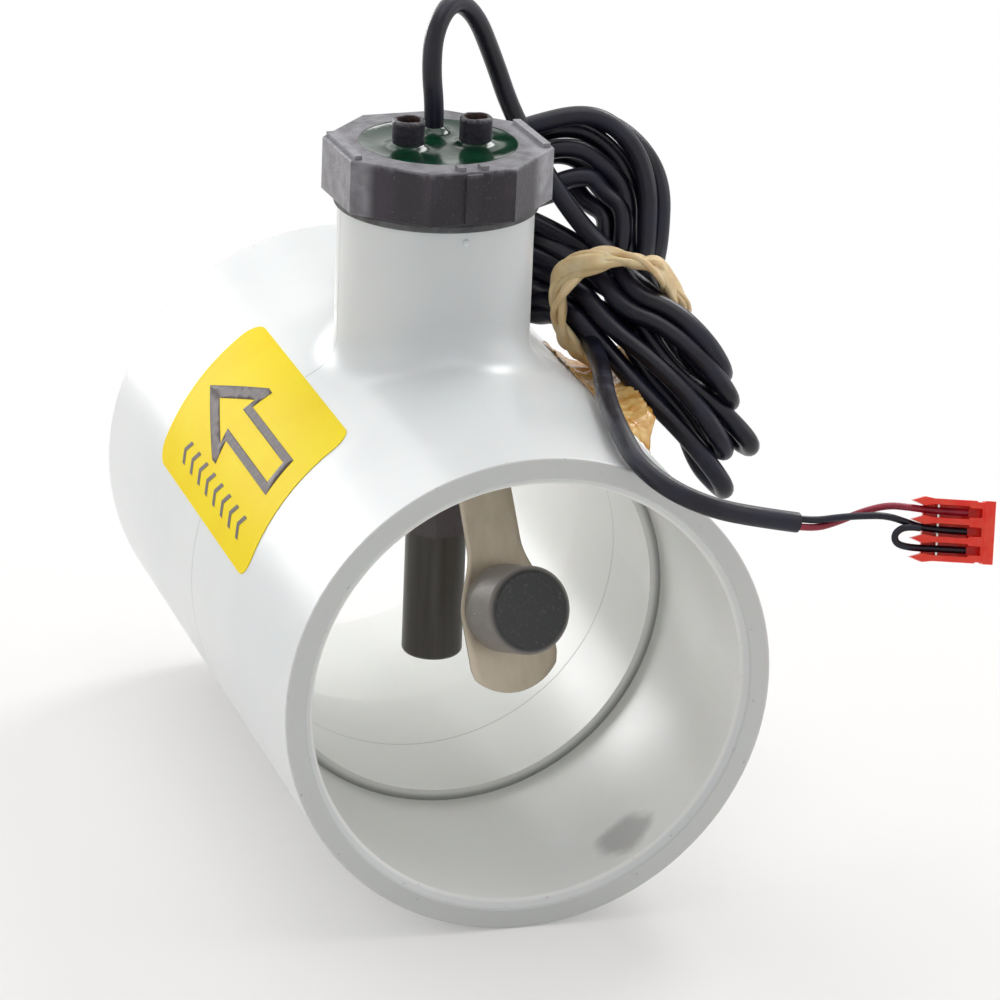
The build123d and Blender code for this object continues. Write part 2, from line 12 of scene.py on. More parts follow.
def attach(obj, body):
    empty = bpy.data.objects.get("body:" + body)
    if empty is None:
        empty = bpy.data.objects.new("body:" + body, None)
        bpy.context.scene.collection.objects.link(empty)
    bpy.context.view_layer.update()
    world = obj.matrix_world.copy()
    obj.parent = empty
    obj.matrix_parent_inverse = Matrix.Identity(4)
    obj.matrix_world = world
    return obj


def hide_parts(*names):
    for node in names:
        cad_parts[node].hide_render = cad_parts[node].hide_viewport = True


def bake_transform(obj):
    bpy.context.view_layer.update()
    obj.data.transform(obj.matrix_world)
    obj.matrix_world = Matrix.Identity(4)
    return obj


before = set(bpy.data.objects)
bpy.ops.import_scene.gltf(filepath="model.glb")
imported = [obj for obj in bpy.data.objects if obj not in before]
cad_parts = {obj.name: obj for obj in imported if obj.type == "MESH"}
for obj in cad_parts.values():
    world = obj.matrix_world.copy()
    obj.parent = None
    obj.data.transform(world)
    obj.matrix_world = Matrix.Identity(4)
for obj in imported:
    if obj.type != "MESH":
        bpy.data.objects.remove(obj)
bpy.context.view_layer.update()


# Tee. White PVC, moulded in one piece with a pipe socket at each end of the run and a threaded
# neck on top. Two cores meet in the middle of the run and leave a hair line all round, and the
# mould's gate leaves a small round stub on the neck.
mm = 0.001
run_middle = 17.0 * mm
mouth_from_middle = 52.7 * mm
stop_from_middle = 17.0 * mm
socket_radius = 30.25 * mm
run_outer_radius = 34.25 * mm
neck_radius = 13.9 * mm
smudge_centre = (17.0 * mm, -28.4 * mm, -25.0 * mm)


def seen(red, green, blue):
    """A colour as a screen shows it, as the linear values that a shader takes."""
    shown = (red, green, blue)
    return tuple((c / 255 + 0.055) ** 2.4 / 1.055**2.4 if c > 10 else c / 3295 for c in shown)


def step(tree, kind, inputs=None, **settings):
    """One node of a tree, with its settings and its inputs; an input that is a socket is linked."""
    node = tree.nodes.new(kind)
    for name, value in settings.items():
        setattr(node, name, value)
    for name, value in (inputs or {}).items():
        if isinstance(value, bpy.types.NodeSocket):
            tree.links.new(value, node.inputs[name])
        else:
            node.inputs[name].default_value = value
    return node


def new_finish(name, colour, roughness, **sockets):
    """Starts a finish. What is the same all over the surface is set on the shader itself."""
    finish = bpy.data.materials.new(name)
    finish.use_nodes = True
    tree = finish.node_tree
    shader = tree.nodes["Principled BSDF"]
    shader.inputs["Base Color"].default_value = (*seen(*colour), 1.0)
    shader.inputs["Roughness"].default_value = roughness
    for socket, value in sockets.items():
        shader.inputs[socket.replace("_", " ")].default_value = value
    return finish, tree, shader


def maths(tree, operation, first, second=0.0):
    return step(tree, "ShaderNodeMath", {0: first, 1: second}, operation=operation).outputs[0]


def times(tree, first, second):
    return maths(tree, "MULTIPLY", first, second)


def plus(tree, first, second):
    return maths(tree, "ADD", first, second)


def ramp(tree, value, slope, base):
    """A value times a slope, on top of a base."""
    line = {0: value, 1: slope, 2: base}
    return step(tree, "ShaderNodeMath", line, operation="MULTIPLY_ADD").outputs[0]


def vectors(tree, operation, first, second=(0, 0, 0)):
    """Arithmetic with vectors; a length, a distance or a dot product comes out as a number."""
    made = step(tree, "ShaderNodeVectorMath", {0: first, 1: second}, operation=operation).outputs
    return made["Value" if operation in ("LENGTH", "DISTANCE", "DOT_PRODUCT") else "Vector"]


def parts_of(tree, vector):
    return step(tree, "ShaderNodeSeparateXYZ", {0: vector}).outputs


def place_in(tree):
    """Where each spot of the surface lies, in the frame of the solids."""
    return step(tree, "ShaderNodeTexCoord").outputs["Object"]


def share(tree, value, low, high):
    """0 where the value is at low and 1 at high, with a soft run between them."""
    ends = {"Value": value, "From Min": low, "From Max": high}
    return step(tree, "ShaderNodeMapRange", ends, interpolation_type="SMOOTHSTEP").outputs["Result"]


def cloud(tree, size, detail=3.0, stretch=(1.0, 1.0, 1.0)):
    """Noise that lies fixed in the piece, with patches of about the given size."""
    scaled = {"Vector": place_in(tree), "Scale": stretch}
    scaled = step(tree, "ShaderNodeMapping", scaled).outputs["Vector"]
    pattern = {"Vector": scaled, "Scale": 1 / size, "Detail": detail}
    return step(tree, "ShaderNodeTexNoise", pattern).outputs["Fac"]


def blotches(tree, size, detail, low, high, stretch=(1.0, 1.0, 1.0)):
    """Soft-edged patches of 1 on a ground of 0, where the noise rises from low to high."""
    return share(tree, cloud(tree, size, detail, stretch), low, high)


def mixed(tree, amount, first, second):
    """Colour between two others, by a share."""
    colours = {0: amount}
    for key, colour in ((6, first), (7, second)):
        is_socket = isinstance(colour, bpy.types.NodeSocket)
        colours[key] = colour if is_socket else (*seen(*colour), 1.0)
    return step(tree, "ShaderNodeMix", colours, data_type="RGBA").outputs[2]


def stained(tree, colour, *stains):
    """Lays stains over a colour, each with its share, its strength and its own colour."""
    for amount, strength, stain in stains:
        colour = mixed(tree, times(tree, amount, strength), colour, stain)
    return colour


def vary(tree, shader, colour, roughness=None):
    """Gives the shader a colour, and maybe a roughness, that changes over the surface."""
    tree.links.new(colour, shader.inputs["Base Color"])
    if roughness:
        tree.links.new(roughness, shader.inputs["Roughness"])


def emboss(tree, shader, height, depth):
    bump = step(tree, "ShaderNodeBump", {"Height": height, "Distance": depth})
    tree.links.new(bump.outputs["Normal"], shader.inputs["Normal"])


def mottled(name, colour, roughness, patches, shades, grain=None, depth=0.0, **sockets):
    """A finish whose colour wanders between two shades, with a fine relief.

    The patches are given as blotches() takes them and the grain of the relief as cloud() does.
    With a depth and no grain, the patches are the relief.
    """
    finish, tree, shader = new_finish(name, colour, roughness, **sockets)
    tone = blotches(tree, *patches)
    vary(tree, shader, mixed(tree, tone, *shades))
    if depth:
        emboss(tree, shader, cloud(tree, *grain) if grain else tone, depth)
    return finish


def coat_node(node_name, finish):
    """Gives a solid its finish."""
    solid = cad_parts[node_name]
    if not solid.material_slots:
        solid.data.materials.append(finish)
    for slot in solid.material_slots:
        slot.material = finish


pvc, tree, shader = new_finish(
    "white_pvc", (228, 231, 231), 0.26, IOR=1.53, Subsurface_Weight=0.12, Subsurface_Scale=2 * mm
)
place = place_in(tree)
axes = parts_of(tree, place)
from_middle = maths(tree, "ABSOLUTE", maths(tree, "SUBTRACT", axes["Y"], run_middle))
across = step(tree, "ShaderNodeCombineXYZ", {"X": axes["X"], "Z": axes["Z"]}).outputs[0]
radius = vectors(tree, "LENGTH", across)
hair_line = share(tree, from_middle, 0.14 * mm, 0.05 * mm)
from_wall = maths(tree, "ABSOLUTE", maths(tree, "SUBTRACT", radius, socket_radius))
from_stop = maths(tree, "ABSOLUTE", maths(tree, "SUBTRACT", from_middle, stop_from_middle))
# Painted shade: a dark ring in the corner where each pipe stop meets the socket wall.
stop_corner_shade = share(tree, from_stop, 0.4 * mm, 0.02 * mm)
stop_corner_shade = times(tree, stop_corner_shade, share(tree, from_wall, 1.2 * mm, 0.1 * mm))
inside = share(tree, radius, socket_radius + 0.6 * mm, socket_radius + 0.2 * mm)
from_smudge = vectors(tree, "DISTANCE", place, smudge_centre)
from_smudge = plus(tree, from_smudge, times(tree, cloud(tree, 3 * mm), 2.4 * mm))
smudge = times(tree, share(tree, from_smudge, 6.4 * mm, 4.0 * mm), inside)
# Painted shade: the end face of each mouth is painted darker, for the shade it lies in.
face_start = mouth_from_middle - 0.4 * mm
on_face = share(tree, from_middle, face_start, face_start + 0.3 * mm)
rim_start = mouth_from_middle - 2.6 * mm
at_rim = share(tree, from_middle, rim_start, rim_start + 2.4 * mm)
nicks = times(tree, blotches(tree, 0.7 * mm, 3.0, 0.68, 0.74), at_rim)
specks = blotches(tree, 0.9 * mm, 1.0, 0.78, 0.84)
colour = mixed(tree, blotches(tree, 26 * mm, 3.0, 0.35, 0.65), (226, 229, 229), (231, 233, 232))
# Painted light: the sockets' inner walls are painted paler than the outside, for the light that
# falls into them.
colour = mixed(tree, inside, colour, (245, 246, 243))
colour = stained(
    tree,
    colour,
    (on_face, 0.7, (206, 209, 206)),
    (hair_line, 0.6, (150, 152, 148)),
    (stop_corner_shade, 0.75, (132, 134, 130)),
    (smudge, 0.5, (122, 122, 124)),
    (nicks, 0.4, (150, 148, 142)),
    (specks, 0.25, (180, 178, 170)),
)
wear = plus(tree, ramp(tree, cloud(tree, 7 * mm, 4.0), 0.12, 0.25), times(tree, nicks, 0.3))
vary(tree, shader, colour, wear)
relief = plus(tree, times(tree, cloud(tree, 3 * mm, 2.0), 0.12), times(tree, hair_line, 0.8))
relief = maths(tree, "SUBTRACT", relief, times(tree, nicks, 0.6))
emboss(tree, shader, relief, 0.12 * mm)
coat_node("tee_body", pvc)


def new_piece(name, shell, finish, smooth=True):
    """Puts a bmesh into the scene as a piece of its own."""
    mesh = bpy.data.meshes.new(name)
    shell.to_mesh(mesh)
    shell.free()
    mesh.materials.append(finish)
    if smooth:
        mesh.shade_smooth()
    piece = bpy.data.objects.new(name, mesh)
    bpy.context.scene.collection.objects.link(piece)
    return piece


def turned(profile, centre, sides, axis=Matrix.Identity(3)):
    """Closed turned shape from (radius, height) pairs; a radius of nought closes an end."""
    shell = bmesh.new()
    rings = []
    for radius, height in profile:
        if radius == 0:
            rings.append([shell.verts.new(centre + axis @ Vector((0, 0, height)))])
            continue
        ring = []
        for side in range(sides):
            angle = math.tau * side / sides
            spot = Vector((radius * math.cos(angle), radius * math.sin(angle), height))
            ring.append(shell.verts.new(centre + axis @ spot))
        rings.append(ring)
    for low, high in zip(rings, rings[1:]):
        for side in range(sides):
            corners = [low[side % len(low)], low[(side + 1) % sides % len(low)]]
            corners += [high[(side + 1) % sides % len(high)], high[side % len(high)]]
            shell.faces.new(list(dict.fromkeys(corners)))
    bmesh.ops.recalc_face_normals(shell, faces=shell.faces)
    return shell


gate_centre = Vector((0.35 * mm, run_middle - neck_radius, 52.15 * mm))
gate_profile = [(0, -0.3), (0.5, -0.3), (0.5, 0.1), (0.38, 0.28), (0, 0.32)]
gate_profile = [(out * mm, height * mm) for out, height in gate_profile]
facing_out = Matrix.Rotation(math.radians(90), 3, "X")
gate_stub = new_piece("gate_stub", turned(gate_profile, gate_centre, 20, facing_out), pvc)
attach(gate_stub, "switch_body")


# Label. Yellow printed film, stuck round the upper left side of the run. A grey outline arrow
# shows the way of the water, with a row of small chevrons beside it.
label_radius = run_outer_radius + 0.12 * mm
print_height = 0.03 * mm
arrow_centre = -31.0 * mm

film = mottled(
    "yellow_film",
    (255, 226, 8),
    0.45,
    (11 * mm, 2.0, 0.3, 0.7),
    ((255, 222, 2), (255, 229, 12)),
    (5 * mm, 2.0),
    0.06 * mm,
    Specular_IOR_Level=0.04,
)
coat_node("flow_label", film)

ink = mottled(
    "grey_ink",
    (98, 88, 86),
    0.5,
    (0.8 * mm, 4.0, 0.35, 0.75),
    ((90, 80, 82), (106, 96, 92)),
    Specular_IOR_Level=0.2,
)

# Half of the arrow's outer and inner outline, in millimetres, from its tip down
outer_half = [(0, 20.2), (6.55, 4.2), (6.5, 2.4), (3.05, 3.5), (3.1, -19.0)]
inner_half = [(0, 14.6), (4.0, 4.6), (1.75, 5.5), (1.75, -17.0)]
arrow = bmesh.new()
edges = []
for half in (outer_half, inner_half):
    outline = half + [(-x, y) for x, y in reversed(half[1:])]
    ring = [arrow.verts.new((x * mm, y * mm, 0)) for x, y in outline]
    edges += [arrow.edges.new(ends) for ends in zip(ring, ring[1:] + ring[:1])]
bmesh.ops.triangle_fill(arrow, use_beauty=True, use_dissolve=False, edges=edges)

# Cuts a millimetre apart, so that the print can follow the curve of the run
for facing, cuts in (((0, 1, 0), range(-19, 21)), ((1, 0, 0), range(-6, 7))):
    for cut in cuts:
        whole = arrow.verts[:] + arrow.edges[:] + arrow.faces[:]
        level = [cut * mm * part for part in facing]
        bmesh.ops.bisect_plane(arrow, geom=whole, plane_co=level, plane_no=facing)
arrow_piece = new_piece("flow_print", arrow, ink)


def new_tree(name, **kinds):
    """Geometry tree with named inputs; returns it, its inputs and their identifiers."""
    tree = bpy.data.node_groups.new(name, "GeometryNodeTree")
    for way in ("INPUT", "OUTPUT"):
        tree.interface.new_socket("Geometry", in_out=way, socket_type="NodeSocketGeometry")
    identifiers = {}
    for socket_name, kind in kinds.items():
        kind = "NodeSocket" + kind
        socket = tree.interface.new_socket(socket_name, in_out="INPUT", socket_type=kind)
        identifiers[socket_name] = socket.identifier
    return tree, step(tree, "NodeGroupInput").outputs, identifiers


def finish_tree(tree, geometry, material):
    """Ends a tree in Realize Instances and Set Material."""
    made = step(tree, "GeometryNodeRealizeInstances", {"Geometry": geometry}).outputs[0]
    made = step(tree, "GeometryNodeSetMaterial", {"Geometry": made, "Material": material})
    step(tree, "NodeGroupOutput", {"Geometry": made.outputs[0]})


def bake_tree(piece, tree, identifiers, values):
    """Runs a tree on a piece with its sizes, and leaves a plain mesh with no modifier."""
    modifier = piece.modifiers.new(tree.name, "NODES")
    modifier.node_group = tree
    for name, value in values.items():
        modifier[identifiers[name]] = value
    return bake_piece(piece)


def bake_piece(piece):
    """Applies a piece's modifiers; a curve becomes a mesh piece of the same name."""
    name = piece.name
    graph = bpy.context.evaluated_depsgraph_get()
    mesh = bpy.data.meshes.new_from_object(piece.evaluated_get(graph))
    bpy.data.objects.remove(piece)
    made = bpy.data.objects.new(name, mesh)
    bpy.context.scene.collection.objects.link(made)
    return made


tree, given, identifiers = new_tree(
    "print_round_the_run",
    Chevrons="Int",
    Pitch="Float",
    Wing="Float",
    Stroke="Float",
    Row="Float",
    Middle="Float",
    Radius="Float",
    Ink="Material",
)
bar = {"Size X": given["Wing"], "Size Y": given["Stroke"], "Vertices X": 9, "Vertices Y": 2}
bar = step(tree, "GeometryNodeMeshGrid", bar).outputs["Mesh"]
spot = parts_of(tree, step(tree, "GeometryNodeInputPosition").outputs[0])
swept = times(tree, maths(tree, "ABSOLUTE", spot["X"]), -0.9)
swept = step(tree, "ShaderNodeCombineXYZ", {"Y": swept}).outputs[0]
chevron = step(tree, "GeometryNodeSetPosition", {"Geometry": bar, "Offset": swept}).outputs[0]
row_length = times(tree, maths(tree, "SUBTRACT", given["Chevrons"], 1.0), given["Pitch"])
row_start = {"X": given["Row"], "Y": times(tree, row_length, -0.5)}
row_start = step(tree, "ShaderNodeCombineXYZ", row_start).outputs[0]
row_step = step(tree, "ShaderNodeCombineXYZ", {"Y": given["Pitch"]}).outputs[0]
row = {"Count": given["Chevrons"], "Start Location": row_start, "Offset": row_step}
row = step(tree, "GeometryNodeMeshLine", row).outputs["Mesh"]
row = step(tree, "GeometryNodeInstanceOnPoints", {"Points": row, "Instance": chevron}).outputs[0]
row = step(tree, "GeometryNodeRealizeInstances", {"Geometry": row}).outputs[0]
both = step(tree, "GeometryNodeJoinGeometry")
tree.links.new(row, both.inputs[0])
tree.links.new(given["Geometry"], both.inputs[0])
flat = parts_of(tree, step(tree, "GeometryNodeInputPosition").outputs[0])
angle = maths(tree, "DIVIDE", plus(tree, flat["X"], given["Middle"]), given["Radius"])
bent = {
    "X": times(tree, maths(tree, "SINE", angle), given["Radius"]),
    "Y": plus(tree, flat["Y"], run_middle),
    "Z": times(tree, maths(tree, "COSINE", angle), given["Radius"]),
}
bent = step(tree, "ShaderNodeCombineXYZ", bent).outputs[0]
bent = {"Geometry": both.outputs[0], "Position": bent}
bent = step(tree, "GeometryNodeSetPosition", bent).outputs[0]
finish_tree(tree, bent, given["Ink"])
arrow_piece = bake_tree(
    arrow_piece,
    tree,
    identifiers,
    {
        "Chevrons": 8,
        "Pitch": 4.4 * mm,
        "Wing": 3.4 * mm,
        "Stroke": 1.2 * mm,
        "Row": -9.2 * mm,
        "Middle": arrow_centre,
        "Radius": label_radius + print_height,
        "Ink": ink,
    },
)
thickness = arrow_piece.modifiers.new("ink_thickness", "SOLIDIFY")
thickness.thickness = print_height
thickness.offset = 0
arrow_piece = bake_piece(arrow_piece)
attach(arrow_piece, "switch_body")


# Gasket. A grey rubber washer, clamped between the neck's end and the head of the plug.
rubber = mottled(
    "grey_rubber",
    (84, 84, 86),
    0.6,
    (2 * mm, 4.0, 0.35, 0.7),
    ((70, 70, 72), (98, 98, 99)),
    (0.5 * mm, 3.0),
    0.04 * mm,
)
coat_node("plug_gasket", rubber)


# Plug. Dark grey glass-filled plastic, moulded with its octagon head, thread, hexagonal column
# and the pad for the leaf. Its top and its edges have gone pale where tools and hands rub. The
# top also carries painted light, as do the head's side facets and the foot of the column.
head_top = 62.66 * mm
head_bottom = 54.9 * mm
column_foot = 26.0 * mm
well_radius = 11.3 * mm

plug_plastic, tree, shader = new_finish(
    "dark_plug_plastic", (60, 54, 62), 0.45, Specular_IOR_Level=0.3, Sheen_Weight=0.2
)
axes = parts_of(tree, place_in(tree))
on_top = share(tree, axes["Z"], head_top - 0.5 * mm, head_top - 0.1 * mm)
on_head = share(tree, axes["Z"], head_bottom - 0.4 * mm, head_bottom + 0.1 * mm)
# Painted light: the foot of the column is painted paler, for light reflected onto it under the
# neck.
on_column = share(tree, axes["Z"], column_foot + 5.0 * mm, column_foot)
near_top = share(tree, axes["Z"], head_top - 1.2 * mm, head_top)
near_top = times(tree, near_top, blotches(tree, 1.4 * mm, 5.0, 0.45, 0.62))
streaks = blotches(tree, 5 * mm, 5.0, 0.4, 0.7, (1.0, 1.0, 0.35))
pores = blotches(tree, 0.45 * mm, 2.0, 0.62, 0.74)
mottle = blotches(tree, 2.2 * mm, 4.0, 0.3, 0.7)
# Painted light: the head's right and left facets are painted pale, for the light that falls on them
# from the sides.
right_side = times(tree, share(tree, axes["X"], 10.6 * mm, 13.2 * mm), on_head)
left_side = times(tree, share(tree, axes["X"], -11.6 * mm, -13.2 * mm), on_head)
painted_side_light = plus(tree, times(tree, right_side, 0.8), times(tree, left_side, 0.6))
painted_side_light = times(tree, painted_side_light, ramp(tree, mottle, 0.5, 0.6))
# The top face is paler, partly from wear and partly as painted light falling on the top.
worn_and_lit_top = times(tree, on_top, plus(tree, mottle, 0.5))
colour = stained(
    tree,
    mixed(tree, streaks, (44, 39, 46), (62, 56, 64)),
    (on_column, 0.6, (128, 120, 122)),
    (painted_side_light, 1.0, (172, 170, 176)),
    (near_top, 0.3, (140, 138, 142)),
    (worn_and_lit_top, 0.42, (150, 148, 154)),
    (pores, 0.16, (150, 148, 152)),
)
vary(tree, shader, colour, ramp(tree, streaks, 0.18, 0.42))
grain = plus(tree, cloud(tree, 0.35 * mm, 4.0), times(tree, cloud(tree, 1.6 * mm, 3.0), 0.8))
emboss(tree, shader, grain, 0.07 * mm)
coat_node("plug_body", plug_plastic)


# Posts. Two hollow stubs of the same plastic, moulded with the head. Their rims were broken off
# short and stay rough, and what stood in them left the bores brown.
post_left_x = -4.4 * mm
post_right_x = 5.4 * mm
post_radius = 2.3 * mm
post_bore = 1.35 * mm
post_foot = 57.46 * mm
post_top = 66.16 * mm

bore_stain, tree, shader = new_finish(
    "stained_plastic", (50, 47, 56), 0.4, Specular_IOR_Level=0.3
)
rim = share(tree, parts_of(tree, place_in(tree))["Z"], post_top - 0.75 * mm, post_top - 0.1 * mm)
rim = times(tree, rim, blotches(tree, 0.7 * mm, 4.0, 0.35, 0.6))
colour = mixed(tree, blotches(tree, 1.5 * mm, 5.0, 0.35, 0.7), (36, 34, 42), (52, 50, 60))
vary(tree, shader, stained(tree, colour, (rim, 0.6, (128, 124, 126))))
emboss(tree, shader, cloud(tree, 0.5 * mm, 4.0), 0.09 * mm)

bore_brown = mottled(
    "brown_bore",
    (44, 26, 20),
    0.5,
    (0.6 * mm, 4.0, 0.35, 0.7),
    ((26, 14, 12), (58, 34, 27)),
    (0.4 * mm, 4.0),
    0.12 * mm,
    Specular_IOR_Level=0.2,
)

# Over the rim from the outside into the bore: radius, and depth under the top in millimetres
rim_profile = [(post_radius, 3.2), (post_radius, 1.6), (post_radius, 0.7)]
rim_profile += [(post_radius + 0.02 * mm, 0.35), (post_radius - 0.10 * mm, 0.12)]
rim_profile += [(post_radius - 0.35 * mm, 0.0), (1.75 * mm, 0.05), (1.6 * mm, 0.3)]
rim_profile += [(1.5 * mm, 0.8), (post_bore, 1.6)]
bore_foot = post_foot + 1.5 * mm
outline = [(0, post_foot), (post_radius, post_foot)]
outline += [(out, post_top - depth * mm) for out, depth in rim_profile]
outline += [(post_bore, post_foot + 1.6 * mm), (post_bore - 0.2 * mm, bore_foot), (0, bore_foot)]
broken_depth = 1.0 * mm
brown_radius = 1.68 * mm

# With its seed set, noise_vector breaks the rims in the same way each run
noise.seed_set(3)
for post_name, post_x in (("post_left", post_left_x), ("post_right", post_right_x)):
    shell = turned(outline, Vector((post_x, run_middle, 0)), 48)
    for vertex in shell.verts:
        if vertex.co.z > post_top - broken_depth:
            lift = noise.noise(vertex.co / (1.3 * mm)) * 0.14 * mm
            vertex.co.z += min(lift, 0.05 * mm)
            vertex.co += noise.noise_vector(vertex.co / (0.7 * mm)) * 0.03 * mm
    post = new_piece(post_name + "_stub", shell, bore_stain)
    post.data.materials.append(bore_brown)
    for face in post.data.polygons:
        out = math.hypot(face.center.x - post_x, face.center.y - run_middle)
        if out < brown_radius and face.center.z > post_foot + 1.0 * mm:
            face.material_index = 1
    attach(post, "switch_body")
    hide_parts(post_name)


# Splices. The cable's two cores are stripped, soldered to the reed's leads and buried in resin.
solder = mottled(
    "tinned_copper",
    (196, 190, 182),
    0.32,
    (0.6 * mm, 4.0, 0.35, 0.7),
    ((170, 160, 148), (206, 202, 196)),
    (0.5 * mm, 3.0),
    0.05 * mm,
    Metallic=1.0,
)
for name in ("conductors", "splices", "upper_lead", "return_lead"):
    coat_node(name, solder)


# Resin. Deep green potting compound, poured into the well round the posts and the cable, where
# it climbs a little before it sets glossy.
resin_level = 61.76 * mm
resin_foot = 57.46 * mm
wire_well_foot = 43.0 * mm
cable_x = 1.3 * mm
cable_y = run_middle + 6.6 * mm
wire_well_radius = 2.6 * mm
wire_well_back = 1.0 * mm

# Where the resin climbs: centre x and y, radius of what stands there, rise and reach
climbs = [
    (post_left_x, run_middle, post_radius, 1.0 * mm, 1.1 * mm),
    (post_right_x, run_middle, post_radius, 0.9 * mm, 1.1 * mm),
    (cable_x, cable_y, 1.4 * mm, 1.2 * mm, 0.9 * mm),
]

resin = mottled(
    "green_resin",
    (0, 62, 36),
    0.16,
    (3.5 * mm, 2.0, 0.35, 0.65),
    ((0, 38, 22), (2, 56, 34)),
    (2.2 * mm, 1.0),
    0.05 * mm,
    IOR=1.5,
)


def resin_height(x, y):
    """Height of the set resin: low in the middle, up the wall, the posts and the cable."""
    out = math.hypot(x, y - run_middle)
    height = resin_level - 0.05 * mm + 0.95 * mm * math.exp((out - well_radius) / (2.2 * mm))
    for centre_x, centre_y, stem, rise, reach in climbs:
        gap = max(math.hypot(x - centre_x, y - centre_y) - stem, 0)
        height += rise * math.exp(-gap / reach)
    return height + 0.08 * mm * noise.noise(Vector((x, y, 0)) / (5.5 * mm))


shell = bmesh.new()
spokes = 144
levels = 60
centre_spot = shell.verts.new((0, run_middle, resin_height(0, run_middle)))
rings = []
for level in range(1, levels + 1):
    out = well_radius * level / levels
    ring = []
    for spoke in range(spokes):
        x = out * math.cos(math.tau * spoke / spokes)
        y = run_middle + out * math.sin(math.tau * spoke / spokes)
        ring.append(shell.verts.new((x, y, resin_height(x, y))))
    rings.append(ring)
foot_ring = [shell.verts.new((v.co.x, v.co.y, resin_foot)) for v in rings[-1]]
for spoke in range(spokes):
    after = (spoke + 1) % spokes
    shell.faces.new((centre_spot, rings[0][spoke], rings[0][after]))
    for low, high in zip(rings, rings[1:]):
        shell.faces.new((low[spoke], high[spoke], high[after], low[after]))
    shell.faces.new((rings[-1][spoke], foot_ring[spoke], foot_ring[after], rings[-1][after]))
shell.faces.new(list(reversed(foot_ring)))
resin_pool = new_piece("resin_pool", shell, resin)
stem_top = resin_foot + 0.2 * mm
stem_profile = [(0, wire_well_foot), (wire_well_radius, wire_well_foot)]
stem_profile += [(wire_well_radius, stem_top), (0, stem_top)]
stem_centre = Vector((cable_x, cable_y - wire_well_back, 0))
resin_stem = new_piece("resin_stem", turned(stem_profile, stem_centre, 40), resin)
for piece in (resin_pool, resin_stem):
    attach(piece, "switch_body")
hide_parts("potting_compound")


# Reed tube. A blind tube of dark plastic, pressed into the bottom of the column. Long shallow
# draw marks from its mould run down it.
tube_plastic, tree, shader = new_finish(
    "dark_tube_plastic", (86, 82, 79), 0.36, Specular_IOR_Level=0.4
)
draw_marks = blotches(tree, 1.3 * mm, 3.0, 0.35, 0.7, (1.0, 1.0, 0.06))
vary(tree, shader, mixed(tree, draw_marks, (82, 78, 75), (92, 88, 85)))
emboss(tree, shader, plus(tree, draw_marks, cloud(tree, 0.5 * mm, 3.0)), 0.012 * mm)
coat_node("reed_tube", tube_plastic)


# Reed switch. Two springy nickel-iron reeds in a sealed glass capsule; the magnet closes them.
glass = mottled(
    "green_glass",
    (206, 226, 214),
    0.03,
    (4 * mm, 1.0, 0.3, 0.7),
    ((196, 222, 206), (216, 232, 222)),
    IOR=1.5,
    Transmission_Weight=1.0,
)
coat_node("reed_glass", glass)
reed_metal = mottled(
    "plated_reed",
    (190, 184, 170),
    0.25,
    (0.3 * mm, 2.0, 0.3, 0.7, (1.0, 1.0, 0.1)),
    ((180, 174, 160), (204, 198, 184)),
    Metallic=1.0,
)
coat_node("fixed_reed", reed_metal)
coat_node("moving_reed", reed_metal)


# Leaf. One strip of thin stainless spring steel, clamped at its top under a plate and two screws
# and widened into a round-ended paddle at the bottom. In use it bends just below the clamp; here
# it is drawn straight and flat.
leaf_origin = Vector((4.1, -4.2 + 17.0, 27.4)) * mm
leaf_turn = math.radians(8.0)
leaf_tilt = math.radians(18.0)
leaf_lean = math.radians(5.0)
leaf_thickness = 0.3 * mm
level_across = Vector((math.cos(leaf_turn), math.sin(leaf_turn), 0))
level_down = Vector(
    (
        math.sin(leaf_turn) * math.sin(leaf_tilt),
        -math.cos(leaf_turn) * math.sin(leaf_tilt),
        -math.cos(leaf_tilt),
    )
)
leaf_across = level_across * math.cos(leaf_lean) - level_down * math.sin(leaf_lean)
leaf_up = -(level_down * math.cos(leaf_lean) + level_across * math.sin(leaf_lean))
leaf_back = leaf_up.cross(leaf_across)


def on_leaf(x, y, z):
    """Place in the leaf's own axes: across it, downstream of its back, and up along it."""
    return leaf_origin + leaf_across * x + leaf_back * y + leaf_up * z


# The strip's half widths and the heights where they change, and the arc that ends the paddle, in
# millimetres
root_half = 4.0
waist_half = 4.2
paddle_half = 6.8
strip_top = 7.2
waist_at = -22.7
flare_end = -32.0
corner_at = -40.6
tip_depth = 3.5
tip_radius = 8.36
tip_centre = -35.74


def leaf_half_width(height):
    """Half the leaf's width at a height along it, in millimetres."""
    if height > 0:
        return root_half
    if height > waist_at:
        return root_half + (waist_half - root_half) * height / waist_at
    if height > flare_end:
        part = (height - waist_at) / (flare_end - waist_at)
        return waist_half + (paddle_half - waist_half) * (part * part * (3 - 2 * part))
    if height > corner_at:
        return paddle_half
    return math.sqrt(max(tip_radius**2 - (height - tip_centre) ** 2, 0.0))


spring_steel, tree, shader = new_finish(
    "spring_steel", (172, 160, 142), 0.34, Metallic=1.0, Anisotropic=0.35
)
rolled = blotches(tree, 1.2 * mm, 4.0, 0.3, 0.7, (1.0, 1.0, 0.05))
stain = blotches(tree, 9 * mm, 3.0, 0.4, 0.7)
colour = mixed(tree, rolled, (184, 172, 154), (192, 181, 164))
colour = stained(tree, colour, (stain, 0.25, (172, 159, 140)))
vary(tree, shader, colour, ramp(tree, rolled, 0.12, 0.3))
emboss(tree, shader, rolled, 0.004 * mm)

